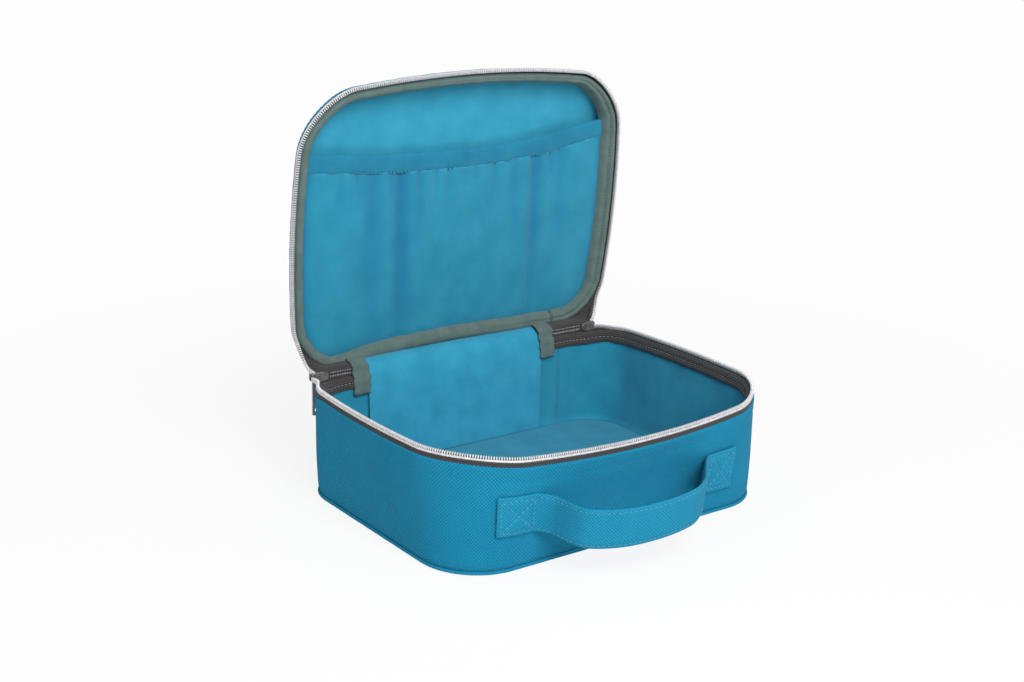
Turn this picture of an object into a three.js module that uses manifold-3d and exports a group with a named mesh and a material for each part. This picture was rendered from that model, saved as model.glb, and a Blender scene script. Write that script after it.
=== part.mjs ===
// Toiletry bag of woven polyester: a soft box with a zipped lid that stands open on a fabric hinge,
// a grab handle on its front, and a gathered pocket inside the lid.
// Millimetres, +Z up, -Y at the front, origin at the centre of the flat bottom.
import * as THREE from "three";
import { mergeGeometries, mergeVertices } from "three/addons/utils/BufferGeometryUtils.js";
import Module from "manifold-3d";

const wasm = await Module();
wasm.setup();

// Clearances
const seatGap = 0.3; // between pieces that are sewn or seated on each other
const overrun = 0.4; // how far joined solids reach into each other
const layerGap = 0.5; // between the layers of a wall
const curveGap = 0.6; // between a piece with straight facets and the curved wall behind it

// Bag body
const bagWidth = 260;
const bagDepth = 189;
const wallTop = 71.5;
const bottomRadius = 40;
const rimFrontRadius = 44;
const rimRearRadius = 34;
const sideBow = 7; // how far the soft sides swell at the rim
const frontBow = 14; // how far the soft front swells at the rim
const rimDip = 5; // how far the rim sags at the middle of the front
const rearSeamIn = 42; // the rear seams, in from the bag's sides

// Lid
const lidDepth = 22;
const lidFrontRadius = 38;
const lidFrontBow = 12;
const lidShoulder = 8; // how far the lid's side rolls in at its outer panel
const lidAngle = 85.3; // how far the lid stands open, in degrees

// Cloth, foam and board
const clothThickness = 1.2;
const liningThickness = 0.8;
const tapeThickness = 1;
const foamThickness = 2;
const boardThickness = 1.6;
const pipingRadius = 1.5;
const pipingOut = 1.2; // how far the bottom piping stands out of the wall

// Zip
const tapeShow = 3.1; // tape left bare between the cloth and the teeth
const tapeHidden = 7.2; // tape sewn in behind the cloth
const combBase = 1.5;
const toothHeight = 1.85;
const combThickness = 2.2;
const toothPitch = 5;
const toothWidth = 2.8;
const toothThicknessShare = 0.8; // of the comb's thickness
const chainThickness = 2.4;
const chainHalfHeight = 3.4;
const chainSlit = 1.5; // gap between the two rows that the slider's post runs in
const chainWebShare = 0.4; // thickness of the web that carries a row, as a share of the row's
const chainIn = 22; // the chain's outer end, in from the bag's side
const chainLength = 38;
const chainStop = 4; // length of the block that ends the chain
const chainToothPitch = 4;
const chainToothWidth = 2.2;

// Rear hinge
const hingeOut = 0.5; // the axis lies this far behind the wall's outer face
const hingeDrop = 3.2; // and this far below the plane where the teeth meet
const hingeClear = 4.6; // free radius round the axis beside the hinge cloth
const foldRadius = 1.2;

// Folded tabs over the zip's ends
const tabLap = 1; // the tab's inner edge, from the chain's inner end
const tabWidth = 16;
const tabThickness = 1.3;
const tabHang = 18;
const tabRise = 2.2;

// Rim binding, inside the bag and inside the lid
const bindingDepth = 8.7;
const bindingThickness = 2;
const lidBindingReach = 5.2; // how far the lid's binding reaches in over the lining
const lidBindingRise = 5;

// Pocket in the lid
const hemWidth = 12;
const hemThickness = 2.2;
const hemFront = 57; // the hem's upper edge, from the middle of the lid towards its front
const pocketGap = 8.4; // room between the pocket and the lining behind it

// Handle
const handleCentre = -8; // the handle's middle, along the front
const handleHeight = 35; // its middle line above the bottom
const strapWidth = 25;
const strapThickness = 2.6;
const strapHalfSpan = 69;
const strapReach = 45; // how far the strap stands off the wall
const strapRootGap = 0.9; // between the wall and the strap's ends, beside the sewn squares
const archPower = 0.8; // below 1, the strap's arch is fuller than half an ellipse
const patchWidth = 27;
const patchThickness = 2.4;

// Zip slider and pull
const sliderIn = 18; // the slider's middle, in from the bag's side
const sliderLength = 11;
const sliderPlate = 1;
const sliderRun = 0.4; // running clearance on each side of the chain
const postLength = 2;
const postThickness = 0.9;
const crownWidth = 1.2; // the loop that holds the pull
const crownHalfHeight = 2.2;
const crownWall = 0.8;
const crownWindow = 1.8;
const pullWidth = 6.5;
const pullLength = 29;
const pullThickness = 1;
const pullEyeHalfWidth = 1.1;
const pullEyeLength = 3.2;

// How finely the curves are divided
const cornerSteps = 6;
const sideSteps = 5;
const frontSteps = 8;
const rearSteps = 4;
const pipingSides = 6;
const foldSides = 10;
const strapSteps = 22;
const patchSteps = 6;
const wallSteps = 3;

// Heights and places that follow from the sizes above
const tapeTop = wallTop + tapeShow;
const combLow = tapeTop + seatGap;
const combHeight = combBase + toothHeight;
const split = combLow + combHeight + seatGap / 2;
const lidCombLow = split + seatGap / 2;
const lidTapeLow = lidCombLow + combHeight + seatGap;
const lidWallLow = lidTapeLow + tapeShow;
const lidTop = split + lidDepth;
const hingeY = bagDepth / 2 + hingeOut;
const hingeZ = split - hingeDrop;
const chainY = bagDepth / 2 - chainThickness / 2 + seatGap / 2;

// Places along the rear, from the middle of the bag
const rearSeam = bagWidth / 2 - rearSeamIn;
const chainOuter = bagWidth / 2 - chainIn;
const chainInner = chainOuter - chainLength;
const tabInner = chainInner + tabLap;
const tabOuter = tabInner + tabWidth;
const sliderPlace = bagWidth / 2 - sliderIn;

// The plan of the bag at one height, seen from above. It starts at the right rear seam, runs round
// the front to the left rear seam, and comes back along the rear.
function planLine({ frontRadius, rearRadius, side, front, dip }) {
  const halfWidth = bagWidth / 2;
  const halfDepth = bagDepth / 2;
  const quarter = Math.PI / 2;
  const rearSide = halfWidth - rearRadius;
  const frontSide = halfWidth - frontRadius;
  const rearMiddle = halfDepth - rearRadius;
  const frontMiddle = frontRadius - halfDepth;
  const line = (x0, y0, x1, y1) => (
    new THREE.LineCurve(new THREE.Vector2(x0, y0), new THREE.Vector2(x1, y1))
  );
  const arc = (x, y, radius, turn) => (
    new THREE.EllipseCurve(x, y, radius, radius, turn, turn - quarter, true)
  );
  const curves = [
    [line(rearSeam, halfDepth, rearSide, halfDepth), 1],
    [arc(rearSide, rearMiddle, rearRadius, quarter), cornerSteps],
    [line(halfWidth, rearMiddle, halfWidth, frontMiddle), sideSteps],
    [arc(frontSide, frontMiddle, frontRadius, 0), cornerSteps],
    [line(frontSide, -halfDepth, -frontSide, -halfDepth), frontSteps],
    [arc(-frontSide, frontMiddle, frontRadius, -quarter), cornerSteps],
    [line(-halfWidth, frontMiddle, -halfWidth, rearMiddle), sideSteps],
    [arc(-rearSide, rearMiddle, rearRadius, -2 * quarter), cornerSteps],
    [line(-rearSide, halfDepth, -rearSeam, halfDepth), 1],
  ];
  const flat = [new THREE.Vector2(rearSeam, halfDepth)];
  for (const [curve, steps] of curves) flat.push(...curve.getPoints(steps).slice(1));
  for (let i = 0; i <= rearSteps; i++) {
    flat.push(new THREE.Vector2((2 * i / rearSteps - 1) * (rearSeam - seatGap), halfDepth));
  }
  // the soft sides and front swell outwards, and the front edge sags
  const bowed = flat.map(({ x, y }) => {
    const across = x / halfWidth;
    const forward = -y / halfDepth;
    const sideSwell = side * Math.sign(x) * across ** 4 * (1 - forward ** 2);
    const frontPart = Math.max(0, forward);
    const frontSwell = front * frontPart ** 4 * (1 - across ** 2);
    const sag = dip * frontPart ** 2 * (1 - across ** 2);
    return { x: x + sideSwell, y: y - frontSwell, dip: sag };
  });
  // outward direction at each station, from its two neighbours
  return bowed.map((point, i) => {
    const before = bowed[(i + bowed.length - 1) % bowed.length];
    const after = bowed[(i + 1) % bowed.length];
    const along = new THREE.Vector2(after.x - before.x, after.y - before.y).normalize();
    return { ...point, out: new THREE.Vector2(-along.y, along.x) };
  });
}

const bottomLine = planLine({
  frontRadius: bottomRadius, rearRadius: rimRearRadius, side: 0, front: 0, dip: 0,
});
const rimLine = planLine({
  frontRadius: rimFrontRadius, rearRadius: rimRearRadius, side: sideBow, front: frontBow, dip: rimDip,
});
const lidLine = planLine({
  frontRadius: lidFrontRadius, rearRadius: rimRearRadius, side: sideBow, front: lidFrontBow, dip: rimDip,
});

// Runs of stations: the whole plan, the front and sides, the rear, and the part with bare teeth
const stationCount = rimLine.length;
const seamEnd = 2 + 4 * cornerSteps + 2 * sideSteps + frontSteps;
const zipStart = 1 + cornerSteps / 2;
const range = (first, last) => Array.from({ length: last - first + 1 }, (_, i) => first + i);
const wholeRun = range(0, stationCount - 1);
const frontRun = range(0, seamEnd);
const rearRun = range(seamEnd + 1, stationCount - 1);
const zipRun = range(zipStart, seamEnd - zipStart);
const faceStart = 1 + cornerSteps + sideSteps;
const faceRun = range(faceStart + 1, seamEnd - faceStart - 1); // the front, without the sides
const besideHinge = (station) => station < zipStart || station > seamEnd - zipStart;

// A point of the bag's body, at a height and a distance in from its outer face
function bodyPoint(station, height, inset) {
  const share = Math.min(1, Math.max(0, height / wallTop));
  const low = bottomLine[station];
  const high = rimLine[station];
  const out = low.out.clone().lerp(high.out, share).normalize();
  return new THREE.Vector3(
    THREE.MathUtils.lerp(low.x, high.x, share) - out.x * inset,
    THREE.MathUtils.lerp(low.y, high.y, share) - out.y * inset,
    height - high.dip * share ** 2,
  );
}

// The same for the lid, as it lies when it is shut
function lidPoint(station, height, inset) {
  const roll = Math.min(1, Math.max(0, (height - lidWallLow) / (lidTop - lidWallLow)));
  const rise = Math.min(1, Math.max(0, (height - split) / lidDepth));
  const { x, y, out, dip } = lidLine[station];
  const reach = inset + lidShoulder * roll ** 2;
  return new THREE.Vector3(x - out.x * reach, y - out.y * reach, height - dip * (1 - rise));
}

// Joins rings of corners into one closed skin. An open run gets a cap at each end, made as a strip
// between the two halves of its ring.
function swept(rings, closed) {
  const sides = rings[0].length;
  const spans = closed ? rings.length : rings.length - 1;
  const triangles = [];
  for (let i = 0; i < spans; i++) {
    const here = i * sides;
    const next = ((i + 1) % rings.length) * sides;
    for (let j = 0; j < sides; j++) {
      const k = (j + 1) % sides;
      triangles.push([here + j, next + j, next + k], [here + j, next + k, here + k]);
    }
  }
  for (const ring of closed ? [] : [0, spans * sides]) {
    for (let j = 0; j < sides / 2 - 1; j++) {
      const across = ring + sides - 1 - j;
      triangles.push([ring + j, ring + j + 1, across - 1], [ring + j, across - 1, across]);
    }
  }
  return closedGeometry(rings.flat(), sameFacing(triangles));
}

// Sweeps a section of [height, inset] corners round a run of stations
function band(place, run, sectionAt, closed = false) {
  return swept(run.map((station) => sectionAt(station).map(
    ([height, inset]) => place(station, height, inset),
  )), closed);
}

// A geometry that faces outwards, from triangles that all face the same way
function closedGeometry(points, triangles) {
  let volume = 0;
  for (const [a, b, c] of triangles) volume += points[a].dot(points[b].clone().cross(points[c]));
  const index = volume < 0 ? triangles.map(([a, b, c]) => [a, c, b]) : triangles;
  const geometry = new THREE.BufferGeometry().setFromPoints(points);
  geometry.setIndex(index.flat());
  geometry.computeVertexNormals();
  return geometry;
}

// Makes every triangle agree with its neighbours about which side is out
function sameFacing(triangles) {
  const edges = new Map();
  triangles.forEach((triangle, t) => triangle.forEach((a, i) => {
    const b = triangle[(i + 1) % 3];
    const key = Math.min(a, b) + ":" + Math.max(a, b);
    if (!edges.has(key)) edges.set(key, []);
    edges.get(key).push({ t, forward: a < b });
  }));
  const flip = new Array(triangles.length).fill(null);
  flip[0] = false;
  const queue = [0];
  while (queue.length) {
    const t = queue.pop();
    triangles[t].forEach((a, i) => {
      const b = triangles[t][(i + 1) % 3];
      const pair = edges.get(Math.min(a, b) + ":" + Math.max(a, b));
      const mine = pair.find((edge) => edge.t === t);
      const other = pair.find((edge) => edge.t !== t);
      if (other && flip[other.t] === null) {
        flip[other.t] = mine.forward === other.forward ? !flip[t] : flip[t];
        queue.push(other.t);
      }
    });
  }
  return triangles.map(([a, b, c], t) => (flip[t] ? [a, c, b] : [a, b, c]));
}

const rectangle = (low, high, near, far) => [[low, near], [high, near], [high, far], [low, far]];

// A tall wall's section, with corners at shared heights between its ends, so that layers lie parallel
function wallSection(low, high, near, far) {
  const levels = [low, ...range(1, wallSteps - 1).map((i) => (wallTop * i) / wallSteps), high];
  return [...levels.map((height) => [height, near]), ...levels.reverse().map((height) => [height, far])];
}

function roundSection(height, inset, radius, sides) {
  return Array.from({ length: sides }, (_, i) => {
    const turn = (2 * Math.PI * i) / sides;
    return [height + radius * Math.sin(turn), inset + radius * Math.cos(turn)];
  });
}

// A flat sheet that fills the plan, with the outline that the plan has at outlineHeight
function sheet(place, height, inset, thickness, outlineHeight = height) {
  const corners = wholeRun.map((station) => place(station, outlineHeight, inset));
  const shape = new THREE.Shape(corners.map(({ x, y }) => new THREE.Vector2(x, y)));
  const geometry = new THREE.ExtrudeGeometry(shape, { depth: thickness, bevelEnabled: false });
  return geometry.translate(0, 0, height);
}

// A closed outline pushed along X
function alongX(outline, from, to) {
  const shape = new THREE.Shape(outline.map(([y, z]) => new THREE.Vector2(y, z)));
  const geometry = new THREE.ExtrudeGeometry(shape, { depth: to - from, bevelEnabled: false });
  geometry.applyMatrix4(new THREE.Matrix4().makeBasis(
    new THREE.Vector3(0, 1, 0), new THREE.Vector3(0, 0, 1), new THREE.Vector3(1, 0, 0),
  ));
  return geometry.translate(from, 0, 0);
}

function block(x0, x1, y0, y1, z0, z1) {
  return new THREE.BoxGeometry(x1 - x0, y1 - y0, z1 - z0)
    .translate((x0 + x1) / 2, (y0 + y1) / 2, (z0 + z1) / 2);
}

function solidOf(geometry) {
  const bare = geometry.clone();
  bare.deleteAttribute("normal");
  bare.deleteAttribute("uv");
  const merged = mergeVertices(bare);
  return new wasm.Manifold(new wasm.Mesh({
    numProp: 3,
    vertProperties: new Float32Array(merged.attributes.position.array),
    triVerts: new Uint32Array(merged.index.array),
  }));
}

function geometryOf(solid) {
  const mesh = solid.getMesh();
  const geometry = new THREE.BufferGeometry();
  geometry.setAttribute("position", new THREE.BufferAttribute(mesh.vertProperties, 3));
  geometry.setIndex(new THREE.BufferAttribute(mesh.triVerts, 1));
  geometry.computeVertexNormals();
  return geometry;
}

const joined = (...pieces) => geometryOf(pieces.map(solidOf).reduce((all, next) => all.add(next)));

// Finishes
const wovenBlue = { color: 0x1f86b4, roughness: 0.85, metalness: 0 };
const liningBlue = { color: 0x349bbd, roughness: 0.6, metalness: 0 };
const charcoal = { color: 0x3a3838, roughness: 0.8, metalness: 0 };
const greyGreen = { color: 0x566d69, roughness: 0.8, metalness: 0 };
const silverTeeth = { color: 0xd3d4d6, roughness: 0.35, metalness: 0.3 };
const castMetal = { color: 0x8a8586, roughness: 0.35, metalness: 0.9 };
const pullMetal = { color: 0xc9bdbb, roughness: 0.4, metalness: 0.6 };
const foamWhite = { color: 0xe6e4de, roughness: 0.95, metalness: 0 };
const greyBoard = { color: 0x9a958c, roughness: 0.9, metalness: 0 };

function addPiece(group, name, geometry, finish) {
  const mesh = new THREE.Mesh(geometry, new THREE.MeshStandardMaterial(finish));
  mesh.name = name;
  group.add(mesh);
}

// Bottom: cloth panel, its piping, the stiff board and the lining floor
function addBottom(group) {
  const pipingHeight = pipingRadius + seatGap;
  const pipingInset = pipingRadius - pipingOut;
  const panelInset = pipingInset + pipingRadius + seatGap;
  const boardLow = clothThickness + seatGap;
  const floorLow = boardLow + boardThickness + seatGap;
  const innerInset = clothThickness + foamThickness + 2 * seatGap;
  addPiece(group, "bottom_panel", sheet(bodyPoint, 0, panelInset, clothThickness), wovenBlue);
  addPiece(group, "bottom_piping", band(bodyPoint, wholeRun,
    () => roundSection(pipingHeight, pipingInset, pipingRadius, pipingSides), true), wovenBlue);
  addPiece(group, "bottom_board", sheet(bodyPoint, boardLow, innerInset, boardThickness), greyBoard);
  addPiece(group, "lining_floor", sheet(bodyPoint, floorLow, innerInset, liningThickness), liningBlue);
}

// Walls: cloth outside, foam, and lining inside
function addWalls(group) {
  const low = 2 * pipingRadius + 2 * seatGap;
  const foamTop = wallTop - tapeHidden - seatGap;
  const foamInset = clothThickness + layerGap;
  const liningInset = foamInset + foamThickness + layerGap;
  const liningLow = clothThickness + boardThickness + liningThickness + 3 * seatGap;
  const liningTop = tapeTop - bindingDepth - seatGap;
  const rearTop = hingeZ - hingeClear;
  addPiece(group, "front_gusset", band(bodyPoint, frontRun,
    () => wallSection(low, wallTop, 0, clothThickness)), wovenBlue);
  addPiece(group, "rear_wall", band(bodyPoint, rearRun,
    () => wallSection(low, rearTop, 0, clothThickness)), wovenBlue);
  addPiece(group, "wall_foam", band(bodyPoint, wholeRun,
    () => wallSection(liningLow, foamTop, foamInset, foamInset + foamThickness), true), foamWhite);
  addPiece(group, "lining_wall", band(bodyPoint, frontRun,
    () => wallSection(liningLow, liningTop, liningInset, liningInset + liningThickness)), liningBlue);
  addPiece(group, "lining_rear", band(bodyPoint, rearRun,
    () => wallSection(liningLow, rearTop, liningInset, liningInset + liningThickness)), liningBlue);
}

// One row of teeth on its carrier, round the open part of the rim
function comb(place, low, direction) {
  const inset = clothThickness + seatGap + tapeThickness / 2;
  const near = inset - combThickness / 2;
  const far = inset + combThickness / 2;
  const strip = band(place, zipRun, () => rectangle(low, low + direction * combBase, near, far));
  const curve = new THREE.CatmullRomCurve3(zipRun.map((station) => place(station, low, inset)));
  const count = Math.round(curve.getLength() / toothPitch);
  const reach = toothHeight + overrun;
  const middle = direction * (combBase - overrun + reach / 2);
  const teeth = Array.from({ length: count }, (_, i) => {
    const share = (i + 0.5) / count;
    const tangent = curve.getTangentAt(share);
    const tooth = new THREE.BoxGeometry(toothWidth, combThickness * toothThicknessShare, reach);
    tooth.rotateZ(Math.atan2(tangent.y, tangent.x));
    const at = curve.getPointAt(share);
    return tooth.translate(at.x, at.y, at.z + middle);
  });
  return joined(strip, mergeGeometries(teeth));
}

// Zip on the body: tape, teeth and the binding over its inner edge
function addBodyZip(group) {
  const tapeInset = clothThickness + seatGap;
  const bindingInset = tapeInset + tapeThickness + seatGap;
  const rearTop = hingeZ - hingeClear;
  addPiece(group, "base_zip_tape", band(bodyPoint, frontRun, (station) => rectangle(
    wallTop - tapeHidden, besideHinge(station) ? rearTop : tapeTop, tapeInset, tapeInset + tapeThickness,
  )), charcoal);
  addPiece(group, "base_zip_teeth", comb(bodyPoint, combLow, 1), silverTeeth);
  addPiece(group, "base_rim_binding", band(bodyPoint, zipRun, () => rectangle(
    tapeTop - bindingDepth, tapeTop - seatGap, bindingInset, bindingInset + bindingThickness,
  )), charcoal);
}

// Closed end of the zip at a rear corner: two rows of teeth that a block ties together
function addChain(group, side, name) {
  const halfWeb = (chainThickness * chainWebShare) / 2;
  const solids = [block(chainInner, chainInner + chainStop, chainY - chainThickness / 2,
    chainY + chainThickness / 2, hingeZ - chainHalfHeight, hingeZ + chainHalfHeight)];
  const count = Math.floor((chainOuter - chainInner - chainStop) / chainToothPitch);
  for (const row of [-1, 1]) {
    const near = hingeZ + (row * chainSlit) / 2;
    const far = hingeZ + row * chainHalfHeight;
    const low = Math.min(near, far);
    const high = Math.max(near, far);
    solids.push(block(chainInner + chainStop - overrun, chainOuter, chainY - halfWeb,
      chainY + halfWeb, low, high));
    for (let i = 0; i < count; i++) {
      const start = chainInner + chainStop + (i + 0.5) * chainToothPitch;
      solids.push(block(start, start + chainToothWidth, chainY - chainThickness / 2,
        chainY + chainThickness / 2, low, high));
    }
  }
  const geometry = joined(...solids);
  addPiece(group, name, side < 0 ? mirrored(geometry) : geometry, silverTeeth);
}

// The same geometry on the other side of the bag
function mirrored(geometry) {
  const copy = geometry.clone().scale(-1, 1, 1);
  const index = copy.index.array.slice();
  for (let i = 0; i < index.length; i += 3) [index[i], index[i + 1]] = [index[i + 1], index[i]];
  copy.setIndex(new THREE.BufferAttribute(index, 1));
  copy.computeVertexNormals();
  return copy;
}

// Folded cloth tab that hides where the chain ends
function addEndTab(group, side, name) {
  const liningInset = clothThickness + foamThickness + liningThickness + 2 * layerGap;
  const back = bagDepth / 2 - liningInset - 2 * seatGap;
  const chainFace = chainY - chainThickness / 2 - seatGap;
  const outline = [
    [back, hingeZ - tabHang], [back, hingeZ - tabRise], [chainFace, hingeZ - tabRise],
    [chainFace, hingeZ + tabRise], [back - tabThickness, hingeZ + tabRise],
    [back - tabThickness, hingeZ - tabHang],
  ];
  addPiece(group, name, side < 0 ? alongX(outline, -tabOuter, -tabInner)
    : alongX(outline, tabInner, tabOuter), greyGreen);
}

// Cloth of the hinge: a flap on the body that ends in a rolled fold on the axis
function addHingeFold(group) {
  const outer = -hingeOut;
  const inner = outer - clothThickness;
  const low = seatGap - hingeClear;
  const outline = [[inner, low], [outer, low]];
  // the roll starts where the flap's outer face meets it, and closes above the flap's inner face
  const start = -Math.PI / 2 - Math.asin(hingeOut / foldRadius);
  for (let i = 0; i <= foldSides; i++) {
    const turn = THREE.MathUtils.lerp(start, Math.PI, i / foldSides);
    outline.push([foldRadius * Math.cos(turn), foldRadius * Math.sin(turn)]);
  }
  outline.push([inner, 0]);
  const half = chainInner - seatGap;
  addPiece(group, "hinge_fold",
    alongX(outline.map(([y, z]) => [hingeY + y, hingeZ + z]), -half, half), wovenBlue);
}

// A point off the front wall's outer face, found by its place along the front
function frontPoint(x, height, outwards) {
  const places = faceRun.map((station) => bodyPoint(station, height, -outwards));
  const next = Math.max(1, places.findIndex((place) => place.x <= x));
  const right = places[next - 1];
  const left = places[next];
  return right.clone().lerp(left, (right.x - x) / (right.x - left.x));
}

// Sewn square where one end of the handle meets the wall
function patch(from, to) {
  const low = handleHeight - strapWidth / 2;
  const high = handleHeight + strapWidth / 2;
  const near = curveGap;
  const far = curveGap + patchThickness;
  return swept(range(0, patchSteps).map((i) => {
    const x = THREE.MathUtils.lerp(from, to, i / patchSteps);
    return [
      frontPoint(x, low, near), frontPoint(x, high, near),
      frontPoint(x, high, far), frontPoint(x, low, far),
    ];
  }), false);
}

// Handle: a flat strap that arches off the front between two sewn squares
function addHandle(group) {
  const innerEdge = strapHalfSpan + seatGap;
  addPiece(group, "handle_patch_left",
    patch(handleCentre - innerEdge - patchWidth, handleCentre - innerEdge), wovenBlue);
  addPiece(group, "handle_patch_right",
    patch(handleCentre + innerEdge, handleCentre + innerEdge + patchWidth), wovenBlue);
  const low = handleHeight - strapWidth / 2;
  const rootSpan = strapHalfSpan - strapThickness;
  const rootAt = (side, height) => frontPoint(handleCentre + side * rootSpan, height, strapRootGap);
  const rootY = (side) => rootAt(side, low).y;
  const foot = rootAt(-1, low);
  const head = rootAt(-1, low + strapWidth);
  const lean = (head.y - foot.y) / (head.z - foot.z);
  const arch = (thickness) => Array.from({ length: strapSteps + 1 }, (_, i) => {
    const turn = (Math.PI * i) / strapSteps;
    const across = -Math.sign(Math.cos(turn)) * Math.abs(Math.cos(turn)) ** archPower;
    const off = Math.sin(turn) ** archPower;
    const root = rootY(across < 0 ? -1 : 1);
    return new THREE.Vector2(
      handleCentre + across * (strapHalfSpan - thickness),
      root - off * (strapReach - thickness),
    );
  });
  const shape = new THREE.Shape([...arch(0), ...arch(strapThickness).reverse()]);
  const strap = new THREE.ExtrudeGeometry(shape, { depth: strapWidth, bevelEnabled: false });
  strap.applyMatrix4(new THREE.Matrix4().makeShear(0, 0, 0, 0, 0, lean)).translate(0, 0, low);
  addPiece(group, "handle_strap", strap, wovenBlue);
}

// Lid, as it lies when shut
function addLid(group) {
  const pipingHeight = lidTop - pipingRadius;
  const sideTop = pipingHeight - pipingRadius - seatGap;
  const panelLow = pipingHeight - clothThickness / 2;
  const panelInset = 2 * pipingRadius + seatGap;
  const foamLow = panelLow - seatGap - foamThickness;
  const liningLow = foamLow - seatGap - liningThickness;
  const rearLow = hingeZ + hingeClear;
  const tapeInset = clothThickness + seatGap;
  const bindingInset = tapeInset + tapeThickness + layerGap;
  const bindingLow = lidTapeLow;
  const bindingHigh = bindingLow + lidBindingRise;
  const innerInset = bindingInset + lidBindingReach;
  const sideLevels = (low) => [low, (low + sideTop) / 2, sideTop];
  const sideSection = (low) => [
    ...sideLevels(low).map((height) => [height, 0]),
    ...sideLevels(low).reverse().map((height) => [height, clothThickness]),
  ];

  addPiece(group, "lid_gusset", band(lidPoint, frontRun, () => sideSection(lidWallLow)), wovenBlue);
  addPiece(group, "lid_rear_panel", band(lidPoint, rearRun, () => sideSection(rearLow)), wovenBlue);
  addPiece(group, "lid_piping", band(lidPoint, wholeRun,
    () => roundSection(pipingHeight, pipingRadius, pipingRadius, pipingSides), true), wovenBlue);
  addPiece(group, "lid_panel", sheet(lidPoint, panelLow, panelInset, clothThickness, lidTop), wovenBlue);
  addPiece(group, "lid_foam", sheet(lidPoint, foamLow, panelInset, foamThickness, lidTop), foamWhite);
  addPiece(group, "lid_lining_panel",
    sheet(lidPoint, liningLow, panelInset, liningThickness, lidTop), liningBlue);
  addPiece(group, "lid_lining_band", band(lidPoint, wholeRun, () => rectangle(
    bindingHigh + seatGap, liningLow - seatGap, innerInset - liningThickness, innerInset,
  ), true), liningBlue);
  addPiece(group, "lid_zip_tape", band(lidPoint, frontRun, (station) => rectangle(
    besideHinge(station) ? rearLow : lidTapeLow, lidWallLow + tapeHidden,
    tapeInset, tapeInset + tapeThickness,
  )), charcoal);
  addPiece(group, "lid_zip_teeth", comb(lidPoint, lidCombLow + combHeight, -1), silverTeeth);
  addPiece(group, "lid_binding", band(lidPoint, wholeRun, () => [
    [bindingLow, bindingInset], [bindingHigh, innerInset - liningThickness],
    [bindingHigh, innerInset + liningThickness], [bindingLow, bindingInset + bindingThickness],
  ], true), greyGreen);
  addPocket(group, liningLow, innerInset);

  const flapLow = foldRadius + seatGap;
  const outer = hingeY - hingeOut;
  addPiece(group, "lid_hinge_flap", alongX([
    [outer, hingeZ + flapLow], [outer, hingeZ + hingeClear - seatGap],
    [outer - clothThickness, hingeZ + hingeClear - seatGap], [outer - clothThickness, hingeZ + flapLow],
  ], seatGap - chainInner, chainInner - seatGap), wovenBlue);
}

// Gathered pocket across the lid, with its elastic hem
function addPocket(group, liningLow, innerInset) {
  const pocketLow = liningLow - pocketGap - liningThickness;
  const inset = innerInset + liningThickness + 2 * seatGap;
  const hemBack = hemWidth - hemFront;
  const height = pocketLow;
  addPiece(group, "pocket_panel",
    sheetBehind(height, inset, liningThickness, hemBack + seatGap), liningBlue);
  const hemShape = hemOutline(inset, -hemFront, hemBack);
  const hem = new THREE.ExtrudeGeometry(hemShape, { depth: hemThickness, bevelEnabled: false });
  hem.translate(0, 0, height - (hemThickness - liningThickness) / 2);
  addPiece(group, "pocket_hem", hem, liningBlue);
}

// Half width of the lid's inside at a place along its depth
function lidHalfWidth(y, height, inset) {
  const side = wholeRun.map((station) => lidPoint(station, height, inset)).filter(({ x }) => x > 0);
  const next = side.findIndex((point) => point.y <= y);
  const before = side[Math.max(1, next) - 1];
  const after = side[Math.max(1, next)];
  return THREE.MathUtils.lerp(before.x, after.x, (before.y - y) / (before.y - after.y));
}

function sheetBehind(height, inset, thickness, edge) {
  const corners = wholeRun.map((station) => lidPoint(station, height, inset));
  const behind = corners.filter(({ y }) => y > edge);
  const half = lidHalfWidth(edge, height, inset);
  const outline = behind.map(({ x, y }) => new THREE.Vector2(x, y));
  const firstLeft = outline.findIndex(({ x }) => x < 0);
  outline.splice(firstLeft, 0, new THREE.Vector2(half, edge), new THREE.Vector2(-half, edge));
  const shape = new THREE.Shape(outline);
  const geometry = new THREE.ExtrudeGeometry(shape, { depth: thickness, bevelEnabled: false });
  return geometry.translate(0, 0, height);
}

function hemOutline(inset, front, back) {
  const height = lidWallLow;
  const frontHalf = lidHalfWidth(front, height, inset);
  const backHalf = lidHalfWidth(back, height, inset);
  return new THREE.Shape([
    new THREE.Vector2(-backHalf, back), new THREE.Vector2(-frontHalf, front),
    new THREE.Vector2(frontHalf, front), new THREE.Vector2(backHalf, back),
  ]);
}

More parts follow.
